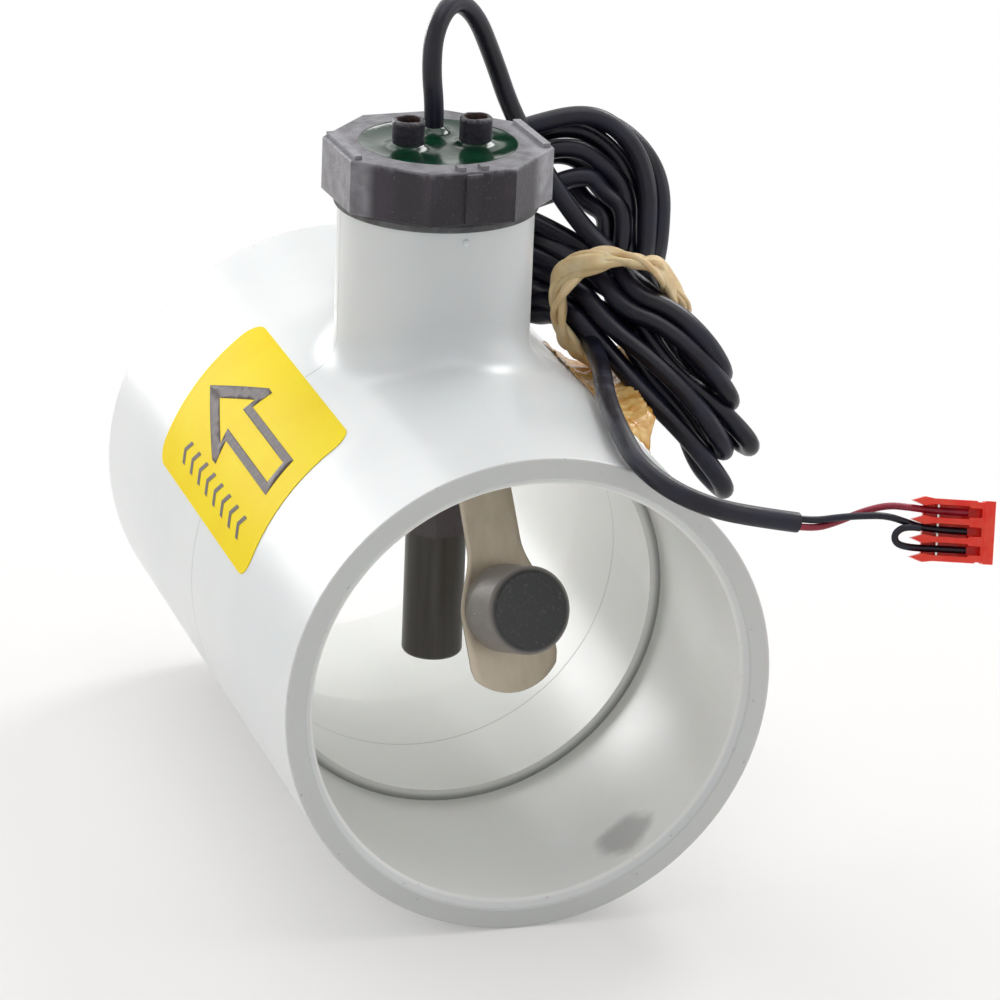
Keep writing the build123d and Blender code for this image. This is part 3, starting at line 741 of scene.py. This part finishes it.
heights = [strip_top, 6.0, 4.5, 3.0, 1.5, 0.0] + [-0.9 * n for n in range(1, 45)]
for degrees in (8, 18, 28, 38, 48, 58, 68, 76, 83, 88):
    heights.append(corner_at - tip_depth * math.sin(math.radians(degrees)))
columns = 12
shell = bmesh.new()
sheets = []
for depth in (-leaf_thickness, 0.0):
    rows = []
    for height in heights:
        half = leaf_half_width(height) * mm
        places = [half * (2 * c / columns - 1) for c in range(columns + 1)]
        rows.append([shell.verts.new(on_leaf(x, depth, height * mm)) for x in places])
    sheets.append(rows)
for rows in sheets:
    for upper, lower in zip(rows, rows[1:]):
        for c in range(columns):
            shell.faces.new((upper[c], upper[c + 1], lower[c + 1], lower[c]))
front, back = sheets
for r in range(len(heights) - 1):
    for c in (0, columns):
        shell.faces.new((front[r][c], front[r + 1][c], back[r + 1][c], back[r][c]))
for r in (0, len(heights) - 1):
    for c in range(columns):
        shell.faces.new((front[r][c], front[r][c + 1], back[r][c + 1], back[r][c]))
bmesh.ops.recalc_face_normals(shell, faces=shell.faces)
leaf = new_piece("leaf_strip", shell, spring_steel)
softened = leaf.modifiers.new("rolled_edge", "BEVEL")
softened.width = 0.07 * mm
softened.segments = 2
softened.limit_method = "ANGLE"
softened.angle_limit = math.radians(50)
leaf = bake_piece(leaf)
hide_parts("leaf_root", "leaf_blade")
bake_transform(leaf)

plate_steel = mottled(
    "stamped_steel",
    (158, 150, 140),
    0.38,
    (0.8 * mm, 4.0, 0.3, 0.7, (0.1, 1.0, 1.0)),
    ((146, 138, 128), (172, 166, 156)),
    depth=0.015 * mm,
    Metallic=1.0,
)
coat_node("clamp_plate", plate_steel)
coat_node("clamp_screws", plate_steel)
coat_node("paddle_rivet", plate_steel)


# Magnet. A dark moulded case with a pressed ferrite magnet in it, riveted to the paddle.
magnet_depth = 9.1 * mm

case_plastic, tree, shader = new_finish("magnet_case", (92, 90, 90), 0.42, Specular_IOR_Level=0.4)
along = vectors(tree, "DOT_PRODUCT", place_in(tree), tuple(leaf_back))
front_face = leaf_origin.dot(leaf_back) - leaf_thickness - magnet_depth
# Painted light: the case's sides behind its front face are painted much paler than the face, for
# the light that falls on them.
rim = share(tree, along, front_face + 0.1 * mm, front_face + 0.9 * mm)
specks = blotches(tree, 0.5 * mm, 3.0, 0.55, 0.75)
colour = mixed(tree, rim, (66, 66, 68), (160, 154, 150))
vary(tree, shader, stained(tree, colour, (specks, 0.22, (136, 132, 130))))
emboss(tree, shader, cloud(tree, 0.5 * mm, 4.0), 0.05 * mm)
coat_node("magnet_cup", case_plastic)
ferrite = mottled(
    "ferrite",
    (60, 60, 62),
    0.45,
    (0.5 * mm, 5.0, 0.35, 0.7),
    ((52, 52, 54), (74, 74, 76)),
    depth=0.04 * mm,
    Metallic=0.4,
)
coat_node("magnet_core", ferrite)


# Cable. Two cores in a thin black jacket. It leaves the resin straight up, bends over behind the
# head, is wound into a hank of seven turns, and comes out of the tie to the connector.
cable_diameter = 2.8 * mm
tie_centre = Vector((30.4, 8.0, 35.0))
tie_along = Vector((0.62, -0.66, -0.42)).normalized()
tie_out = Vector((-0.47, -0.744, 0.476))
tie_out = (tie_out - tie_along * tie_out.dot(tie_along)).normalized()
tie_up = tie_out.cross(tie_along).normalized()
if tie_up.z < 0:
    tie_up = -tie_up


def at_tie(along, up, out):
    """Place near the tie, in millimetres from its centre."""
    return tuple(tie_centre + tie_along * along + tie_up * up + tie_out * out)


# Each pass through the tie: up and out on its upper side, up and out on its lower side
passes_down = [(4.6, 3.0, 1.8, 4.3), (3.6, 1.4, 3.6, 1.8), (1.6, 3.8, -0.9, 4.4)]
passes_down += [(0.2, 1.4, 0.8, 1.6), (-1.8, 3.9, -4.0, 4.0), (-3.4, 1.4, -2.2, 1.4)]
passes_down += [(-5.0, 3.2, -6.5, 2.2)]
passes_up = [(1.2, -4.2, -3.5, -4.0), (2.2, -1.5, -1.8, -1.3), (3.4, -4.1, -0.6, -4.2)]
passes_up += [(4.2, -1.4, 1.0, -1.4), (5.2, -4.0, 2.2, -4.2), (6.0, -1.2, 3.8, -1.2)]
passes_up += [(6.9, -3.0, 5.0, -3.6)]

# Each loop above the tie: right leg x, y; top x, y, z; height over the edge; left end x; height
# behind; height of the way back; how much deeper the way out lies than the way back
loops = [
    (30.4, 15.0, 27.5, 21.8, 47.6, 45.0, 9.0, 46.0, 44.4, 5.6),
    (32.2, 12.4, 28.5, 18.8, 50.6, 47.4, 6.5, 44.6, 41.8, 6.4),
    (32.6, 16.0, 26.5, 23.8, 52.4, 50.6, 4.0, 43.6, 39.2, 4.6),
    (33.2, 13.6, 27.0, 20.8, 54.2, 52.6, 2.0, 41.6, 36.6, 2.4),
    (34.4, 15.0, 27.5, 23.8, 56.4, 54.2, 0.5, 39.6, 34.0, 1.2),
    (35.6, 11.6, 29.0, 20.6, 59.2, 57.2, -1.5, 37.4, 31.6, 0.6),
    (38.0, 12.8, 31.0, 23.5, 57.6, 55.0, -3.0, 35.4, 29.4, 0.6),
]

# Each fold below the tie: middle along and up; tip along and up; how far out its near leg stands
folds = [
    (9.0, 3.4, 18.6, 1.0, 4.2),
    (8.5, 2.2, 17.0, -0.6, 0.8),
    (9.5, 0.9, 21.9, -1.6, 4.2),
    (12.0, -3.6, 27.6, -5.0, 1.6),
    (11.5, -4.2, 25.6, -7.8, 4.4),
    (10.0, -6.2, 23.5, -10.0, 0.6),
    (11.5, -8.6, 28.8, -12.2, 3.4),
]

# The whole route, in millimetres, with y from the middle of the run
cable_route = [(1.3, 6.6, 59.66), (1.3, 6.6, 65.2), (0.6, 6.8, 71.2), (1.3, 8.2, 76.5)]
cable_route += [(4.6, 11.2, 80.0), (9.0, 14.3, 77.2), (12.9, 17.2, 69.5), (16.6, 18.8, 60.5)]
cable_route += [(21.2, 17.0, 52.3), (25.8, 13.2, 45.0)]
for turn, (up, out, low_up, low_out) in enumerate(passes_down):
    cable_route += [at_tie(-4.6 + 0.2 * up, up, out), at_tie(2.6, low_up, low_out)]
    middle, middle_up, tip, tip_up, near = folds[turn]
    up, out, low_up, low_out = passes_up[turn]
    far = near - 7.2
    cable_route += [
        at_tie(middle, middle_up, near + 0.6),
        at_tie((middle + tip) / 2 + 1.5, (middle_up + tip_up) / 2 + 0.4, near + 0.3),
        at_tie(tip + 0.6, tip_up, near - 1.4),
        at_tie(tip + 0.6, tip_up - 1.0, near - 6.0),
        at_tie((middle + tip) / 2 + 1.0, (middle_up + tip_up) / 2 - 1.4, far - 0.8),
        at_tie(middle * 0.9, (middle_up + low_up) / 2, (far + low_out) / 2 - 0.8),
        at_tie(2.6, low_up, low_out),
        at_tie(-3.6 + 0.7 * (up - 1), up, out),
    ]
    leg_x, leg_y, top_x, top_y, top_z, edge_z, left_x, behind_z, return_z, deeper = loops[turn]
    way_out = edge_z - 3.0
    way_back = behind_z - 0.6
    drop = way_out - way_back
    back_y = min(top_y, 22.5)
    cable_route += [
        (leg_x, leg_y, 42.2),
        (leg_x + 0.6, leg_y + 2.0, (top_z + 42) / 2 + 0.5),
        (leg_x - 1.7, (leg_y + top_y) / 2 + 1.5, top_z - min(2.4, 0.25 * (top_z - 42))),
        (top_x, top_y, top_z + 0.6),
        (20.0, top_y + 1.5, edge_z + 0.4),
        (max(12.0, left_x + 6.5), top_y + 2.6 + 0.45 * deeper, way_out),
        (left_x + 3.4, top_y + 3.0 + 0.9 * deeper, way_out - 0.16 * drop),
        (left_x - 0.5, top_y + 2.8 + 0.7 * deeper, way_out - 0.36 * drop),
        (left_x - 0.5, top_y + 1.8 - 0.3 * deeper, way_out - 0.66 * drop),
        (left_x + 3.4, back_y + 1.6 - 0.6 * deeper, way_back + 0.16 * drop),
        (max(12.5, left_x + 7.0), back_y - 0.3 * deeper, way_back),
        (20.5, 18.6 + (turn % 2) * 2.4, return_z),
    ]
cable_route += [at_tie(-5.6, -6.4, 0.8), at_tie(0.6, -7.0, 1.2), at_tie(2.8, -7.9, 4.6)]
cable_route += [(23.9, -5.5, 29.2), (20.0, -18.5, 30.9), (16.6, -32.0, 32.4), (13.8, -45.0, 33.9)]
cable_route += [(12.9, -54.3, 33.4), (15.7, -59.8, 31.4), (21.2, -61.4, 29.0)]
cable_route += [(27.6, -60.6, 27.0), (34.0, -60.0, 25.5)]
cable_route = [(x * mm, y * mm + run_middle, z * mm) for x, y, z in cable_route]


def cord_curve(name, route, diameter, finish):
    """Round cord on one smooth curve that the route's points steer."""
    curve = bpy.data.curves.new(name, "CURVE")
    curve.dimensions = "3D"
    curve.resolution_u = 10
    curve.bevel_depth = diameter / 2
    curve.bevel_resolution = 6
    curve.use_fill_caps = True
    spline = curve.splines.new("NURBS")
    spline.points.add(len(route) - 1)
    for point, spot in zip(spline.points, route):
        point.co = (*spot, 1.0)
    spline.order_u = 3
    spline.use_endpoint_u = True
    curve.materials.append(finish)
    piece = bpy.data.objects.new(name, curve)
    bpy.context.scene.collection.objects.link(piece)
    return piece


jacket, tree, shader = new_finish("black_jacket", (22, 22, 36), 0.32, Specular_IOR_Level=0.36)
handled = blotches(tree, 6 * mm, 4.0, 0.4, 0.7)
dust = blotches(tree, 0.5 * mm, 4.0, 0.66, 0.76)
colour = mixed(tree, handled, (13, 13, 25), (24, 24, 42))
colour = stained(tree, colour, (dust, 0.12, (120, 120, 130)))
vary(tree, shader, colour, ramp(tree, handled, 0.14, 0.3))
emboss(tree, shader, cloud(tree, 1.2 * mm, 4.0), 0.03 * mm)
cable = cord_curve("switch_cable", cable_route, cable_diameter, jacket)
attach(cable, "switch_body")
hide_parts("cable_lead", "cable_hank", "cable_tail")


# Wires. A red and a black core leave the jacket's end for the connector, and a short black
# jumper joins its middle and lower ways.
connector_centre = Vector((53.8, -65.6 + 17.0, 25.0)) * mm
connector_along = Vector((0.951, -0.309, -0.017)).normalized()
connector_out = Vector((-0.285, -0.894, 0.346))
connector_out = (connector_out - connector_along * connector_out.dot(connector_along)).normalized()
connector_up = connector_out.cross(connector_along)
wire_diameter = 0.96 * mm


def at_connector(x, y, z):
    """Place in the connector's own axes, in millimetres."""
    return connector_centre + (connector_along * x + connector_up * y + connector_out * z) * mm


# Each wire's route in the connector's axes, from the jacket or the first fork to its own fork
red_route = [(-20.57, -0.66, 0.81), (-18.2, -0.83, -0.34), (-15.2, 0.2, -0.6), (-12.0, 1.8, -0.4)]
red_route += [(-8.6, 2.9, 0.0), (-5.6, 2.8, 0.1), (-2.6, 2.54, 0.0), (2.3, 2.54, 0.0)]
black_route = [(-20.57, 0.4, 0.81), (-18.2, 0.23, -0.34), (-15.0, 0.9, 0.7), (-11.8, 1.3, 1.4)]
black_route += [(-8.6, 1.5, 1.1), (-5.8, 0.75, 0.4), (-3.2, 0.0, 0.0), (2.3, 0.0, 0.0)]
jumper_route = [(-4.0, 0.12, 1.3), (-6.0, 0.3, 1.3), (-7.5, -0.8, 0.9), (-7.2, -2.2, 0.4)]
jumper_route += [(-5.2, -2.6, 0.1), (-2.6, -2.54, 0.0), (2.3, -2.54, 0.0)]

red_insulation = mottled(
    "red_insulation",
    (150, 26, 50),
    0.34,
    (2 * mm, 3.0, 0.35, 0.7),
    ((138, 18, 42), (168, 40, 66)),
    (0.8 * mm, 3.0),
    0.02 * mm,
)
for wire_name, route, finish, node_name, slot in (
    ("red_core", red_route, red_insulation, "wire_red", "wire_red"),
    ("black_core", black_route, jacket, "wire_black", "jacket"),
    ("black_jumper", jumper_route, jacket, "wire_jumper", "jacket"),
):
    wire = cord_curve(wire_name, [at_connector(*spot) for spot in route], wire_diameter, finish)
    wire = bake_piece(wire)
    wire.data.shade_smooth()
    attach(wire, "switch_body")
    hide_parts(node_name)


# Connector. A three-way comb housing, moulded in translucent red nylon. Tinned forks in its
# slots cut through the insulation and grip the wires.
nylon = mottled(
    "red_nylon",
    (255, 52, 28),
    0.3,
    (2.4 * mm, 3.0, 0.3, 0.7),
    ((252, 40, 18), (255, 74, 48)),
    (0.9 * mm, 3.0),
    0.04 * mm,
    IOR=1.5,
    Transmission_Weight=0.12,
    Subsurface_Weight=0.35,
    Subsurface_Scale=1.5 * mm,
    Subsurface_Radius=(1.0, 0.25, 0.12),
)
shell = bmesh.new()
shell.from_mesh(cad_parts["connector_housing"].data)
bmesh.ops.remove_doubles(shell, verts=shell.verts, dist=0.002 * mm)
bmesh.ops.dissolve_limit(shell, angle_limit=math.radians(1), verts=shell.verts, edges=shell.edges)
housing = new_piece("comb_housing", shell, nylon, smooth=False)
rounding = housing.modifiers.new("moulded_edge", "BEVEL")
rounding.width = 0.09 * mm
rounding.segments = 2
rounding.limit_method = "ANGLE"
rounding.angle_limit = math.radians(35)
housing = bake_piece(housing)
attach(housing, "switch_body")
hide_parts("connector_housing")

tin = mottled(
    "tinned_fork",
    (200, 198, 192),
    0.28,
    (0.5 * mm, 3.0, 0.35, 0.7),
    ((186, 184, 178), (214, 212, 206)),
    Metallic=1.0,
)
coat_node("connector_contacts", tin)


# Rubber band. One tan rubber band, wound round the middle of the hank several times, so that
# flat strands lie twisted over each other.
band_rubber = mottled(
    "tan_rubber",
    (212, 180, 126),
    0.5,
    (2.6 * mm, 4.0, 0.35, 0.7),
    ((222, 192, 142), (238, 214, 170)),
    (0.7 * mm, 4.0),
    0.04 * mm,
    Subsurface_Weight=0.25,
    Subsurface_Scale=1 * mm,
    Subsurface_Radius=(1.0, 0.6, 0.3),
)

lines = bpy.data.curves.new("band_strands", "CURVE")
lines.dimensions = "3D"

# The band's loop, as places near the tie: along the hank, up and out
band_loop = [(1.2, -8.6, -2.0), (-0.8, -9.0, 1.0), (-3.3, -7.8, 3.5), (-5.2, -5.1, 5.5)]
band_loop += [(-6.0, -1.9, 6.5), (-4.8, 1.2, 6.8), (-2.2, 4.0, 6.5), (1.0, 5.7, 5.5)]
band_loop += [(3.3, 6.0, 3.5), (5.0, 5.3, 0.5), (6.1, 4.7, -2.3), (5.8, 3.4, -5.6)]
band_loop += [(5.2, 0.6, -7.3), (4.2, -2.8, -7.6), (3.4, -6.0, -6.6), (2.4, -8.0, -4.6)]
band_loop = [Vector(place) for place in band_loop]
loop_middle = Vector((1.2, -1.4, -0.3))
loop_normal = Vector((0.80, -0.20, 0.52)).normalized()


def on_loop(part):
    """Place on the smooth curve through the loop's places, with part counted in places."""
    first = int(part)
    t = part - first
    weights = (-t + 2 * t**2 - t**3, 2 - 5 * t**2 + 3 * t**3, t + 4 * t**2 - 3 * t**3, t**3 - t**2)
    around = [band_loop[(first + n) % len(band_loop)] for n in (-1, 0, 1, 2)]
    return sum((knot * weight / 2 for knot, weight in zip(around, weights)), Vector((0, 0, 0)))


# Each strand: how far it wanders along the hank and out of it, its turns round the others and
# where they start, and how far it bulges where it lies loose
strands = [(1.2, 0.4, 4, phase, 0.0) for phase in (0.0, 2.1, 4.2)] + [(1.4, 0.7, 3, 1.2, 1.2)]
stations = 160
loose_at = 7.8
loose_over = 0.8
for reach, lift, twists, phase, loose in strands:
    strand = lines.splines.new("POLY")
    strand.points.add(stations - 1)
    for station, point in enumerate(strand.points):
        part = station / stations * len(band_loop)
        spot = on_loop(part)
        outward = (spot - loop_middle).normalized()
        angle = math.tau * station / stations * twists + phase
        bulge = loose * math.exp(-(((part - loose_at) / loose_over) ** 2))
        swing = loop_normal * reach * math.sin(angle)
        spot += swing + outward * (lift + lift * math.cos(angle) + bulge)
        spot = Vector(at_tie(*spot))
        point.co = (spot.x * mm, spot.y * mm + run_middle, spot.z * mm, 1.0)
    strand.use_cyclic_u = True
band = bpy.data.objects.new("hank_band", lines)
bpy.context.scene.collection.objects.link(band)

tree, given, identifiers = new_tree(
    "flat_rubber_strands",
    Width="Float",
    Thickness="Float",
    Twists="Float",
    Sway="Float",
    Centre="Vector",
    Axis="Vector",
    Rubber="Material",
)
spot = step(tree, "GeometryNodeInputPosition").outputs[0]
from_centre = vectors(tree, "SUBTRACT", spot, given["Centre"])
height = vectors(tree, "DOT_PRODUCT", from_centre, given["Axis"])
along_axis = {0: given["Axis"], "Scale": height}
along_axis = step(tree, "ShaderNodeVectorMath", along_axis, operation="SCALE").outputs[0]
outward = vectors(tree, "NORMALIZE", vectors(tree, "SUBTRACT", from_centre, along_axis))
laid = {"Curve": given["Geometry"], "Normal": outward}
laid = step(tree, "GeometryNodeSetCurveNormal", laid, mode="FREE").outputs["Curve"]
way = step(tree, "GeometryNodeSplineParameter").outputs["Factor"]
turn = maths(tree, "SINE", times(tree, times(tree, way, given["Twists"]), math.tau))
laid = {"Curve": laid, "Tilt": times(tree, turn, given["Sway"])}
laid = step(tree, "GeometryNodeSetCurveTilt", laid).outputs["Curve"]
section = {"Width": given["Thickness"], "Height": given["Width"]}
section = step(tree, "GeometryNodeCurvePrimitiveQuadrilateral", section).outputs[0]
section = {"Curve": section, "Radius": times(tree, given["Thickness"], 0.45), "Count": 4}
section = step(tree, "GeometryNodeFilletCurve", section, mode="POLY").outputs["Curve"]
flat_strands = {"Curve": laid, "Profile Curve": section}
flat_strands = step(tree, "GeometryNodeCurveToMesh", flat_strands).outputs["Mesh"]
flat_strands = step(tree, "GeometryNodeSetShadeSmooth", {"Geometry": flat_strands}).outputs[0]
finish_tree(tree, flat_strands, given["Rubber"])
band_middle = Vector(at_tie(*loop_middle)) * mm + Vector((0, run_middle, 0))
band = bake_tree(
    band,
    tree,
    identifiers,
    {
        "Width": 2.5 * mm,
        "Thickness": 1.05 * mm,
        "Twists": 4.0,
        "Sway": 0.75,
        "Centre": tuple(band_middle),
        "Axis": tuple(Vector(at_tie(*loop_normal)) - tie_centre),
        "Rubber": band_rubber,
    },
)
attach(band, "switch_body")
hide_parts("rubber_band")


# Tape. A strip of clear amber adhesive tape that holds the hank to the side of the run. It has
# crumpled as the hank was pushed down on it.
tape_inner = run_outer_radius + 0.05 * mm
tape_thickness = 0.08 * mm
tape_angle = math.radians(46.0)

# Half its length and width, how far its free edge lifts and how far it sits upstream of the
# run's middle, in millimetres
tape_half_length = 17.0
tape_half_width = 4.0
tape_lift = 4.2
tape_shift = -1.0
tape_rows = 72
tape_columns = 28

tape_film, tree, shader = new_finish(
    "amber_tape",
    (238, 184, 92),
    0.2,
    IOR=1.46,
    Transmission_Weight=0.15,
    Coat_Weight=0.4,
    Coat_Roughness=0.1,
)
tone = blotches(tree, 2.4 * mm, 5.0, 0.38, 0.66)
colour = mixed(tree, tone, (222, 160, 66), (248, 208, 132))
vary(tree, shader, colour, ramp(tree, tone, 0.1, 0.29))
emboss(tree, shader, cloud(tree, 1.1 * mm, 5.0), 0.25 * mm)

shell = bmesh.new()
grid = []
for row in range(tape_rows + 1):
    along = tape_half_length * (2 * row / tape_rows - 1)
    line = []
    for column in range(tape_columns + 1):
        arc = tape_half_width * (2 * column / tape_columns - 1)
        ragged = 1.0 + 0.1 * noise.noise(Vector((along * 0.35, 3.0, arc * 0.2)))
        spot = Vector((arc * 0.45, along * 0.45, 1.7))
        crease = 0.0
        for fineness, height in ((1.0, 1.1), (2.3, 0.4), (5.0, 0.12)):
            crease += abs(noise.noise(spot * fineness)) * height
        free = min(max((arc + 3.0) / 5.5, 0), 1) * (1 - (along / tape_half_length) ** 6)
        angle = tape_angle + arc * ragged * (1 - 0.35 * free) * mm / run_outer_radius
        out = tape_inner + (crease * (0.5 + 0.6 * free) + tape_lift * free * free) * mm
        level = run_middle + (along + tape_shift) * mm
        line.append(shell.verts.new((out * math.sin(angle), level, out * math.cos(angle))))
    grid.append(line)
for low, high in zip(grid, grid[1:]):
    for column in range(tape_columns):
        shell.faces.new((low[column], low[column + 1], high[column + 1], high[column]))
bmesh.ops.recalc_face_normals(shell, faces=shell.faces)
tape = new_piece("crumpled_tape", shell, tape_film)
thickness = tape.modifiers.new("film", "SOLIDIFY")
thickness.thickness = tape_thickness
thickness.offset = 1
tape = bake_piece(tape)
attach(tape, "switch_body")
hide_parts("tape_tab")


# Table, light and camera. A white table in a light tent: soft boxes above, on both sides and
# behind, with a low one that lights the far socket, and nothing bright behind the camera.
table_height = -34.3 * mm
table_lit_radius = 0.075
table_bright_radius = 0.17
lamp_target = Vector((0.0, run_middle, 0.02))
camera_place = (-0.2082, -0.6722, 0.2755)
camera_turn = math.radians(-17.66)
camera_tilt = math.radians(90 - 20.27)
camera_roll = math.radians(2.39)
white = (1.0, 1.0, 1.0)


def seen_plainly(tree):
    """1 for what the camera, a mirror or clear plastic shows, and 0 for light that falls."""
    rays = step(tree, "ShaderNodeLightPath").outputs
    glossy = maths(tree, "MAXIMUM", rays["Is Glossy Ray"], rays["Is Transmission Ray"])
    return maths(tree, "MAXIMUM", rays["Is Camera Ray"], glossy)


table_white = bpy.data.materials.new("table_white")
table_white.use_nodes = True
tree = table_white.node_tree
tree.nodes.clear()
distance = vectors(tree, "LENGTH", place_in(tree))
lit = step(tree, "ShaderNodeBsdfDiffuse", {"Color": (0.93, 0.91, 0.89, 1)}).outputs[0]
bright = step(tree, "ShaderNodeEmission", {"Color": (*white, 1), "Strength": 1.0}).outputs[0]
faded = ramp(tree, share(tree, distance, table_lit_radius, table_bright_radius), 0.72, 0.28)
amount = times(tree, faded, seen_plainly(tree))
surface = step(tree, "ShaderNodeMixShader", {0: amount, 1: lit, 2: bright}).outputs[0]
step(tree, "ShaderNodeOutputMaterial", {"Surface": surface})
shell = bmesh.new()
bmesh.ops.create_grid(shell, x_segments=2, y_segments=2, size=3.0)
bmesh.ops.translate(shell, verts=shell.verts, vec=(0, 0, table_height))
table = new_piece("table", shell, table_white, smooth=False)

world = bpy.data.worlds.new("light_tent")
bpy.context.scene.world = world
world.use_nodes = True
tree = world.node_tree
tree.nodes.clear()
tent = {"Color": (0.97, 0.98, 1.0, 1), "Strength": 0.44}
tent = step(tree, "ShaderNodeBackground", tent).outputs[0]
plain = step(tree, "ShaderNodeBackground", {"Color": (*white, 1), "Strength": 1.0}).outputs[0]
surface = step(tree, "ShaderNodeMixShader", {0: seen_plainly(tree), 1: tent, 2: plain}).outputs[0]
step(tree, "ShaderNodeOutputWorld", {"Surface": surface})

# Each lamp: name, place, size, power and colour
for lamp_name, spot, size, power, tint in (
    ("back_box", (-0.22, 0.72, 0.62), 0.6, 1.6, white),
    ("far_box", (-0.30, 0.90, 0.10), 0.35, 2.6, white),
    ("key_box", (0.46, 0.46, 0.60), 0.3, 2.3, (1.0, 0.99, 0.98)),
    ("top_box", (0.05, 0.05, 0.80), 0.6, 1.7, white),
    ("left_box", (-0.75, 0.05, 0.35), 0.6, 0.7, white),
    ("right_box", (0.75, -0.15, 0.35), 0.5, 0.9, white),
):
    lamp = bpy.data.lights.new(lamp_name, "AREA")
    lamp.shape = "SQUARE"
    lamp.size = size
    lamp.energy = power
    lamp.color = tint
    lamp_stand = bpy.data.objects.new(lamp_name, lamp)
    aim = (lamp_target - Vector(spot)).to_track_quat("-Z", "Y").to_matrix().to_4x4()
    lamp_stand.matrix_world = Matrix.Translation(spot) @ aim
    bpy.context.scene.collection.objects.link(lamp_stand)

lens = bpy.data.cameras.new("studio_camera")
lens.lens = 192.85
lens.sensor_width = 36.0
lens.clip_start = 0.05
camera = bpy.data.objects.new("studio_camera", lens)
aimed = Matrix.Rotation(camera_turn, 4, "Z") @ Matrix.Rotation(camera_tilt, 4, "X")
aimed = aimed @ Matrix.Rotation(camera_roll, 4, "Z")
camera.matrix_world = Matrix.Translation(camera_place) @ aimed
bpy.context.scene.collection.objects.link(camera)
bpy.context.scene.camera = camera
bpy.context.scene.view_settings.view_transform = "Standard"
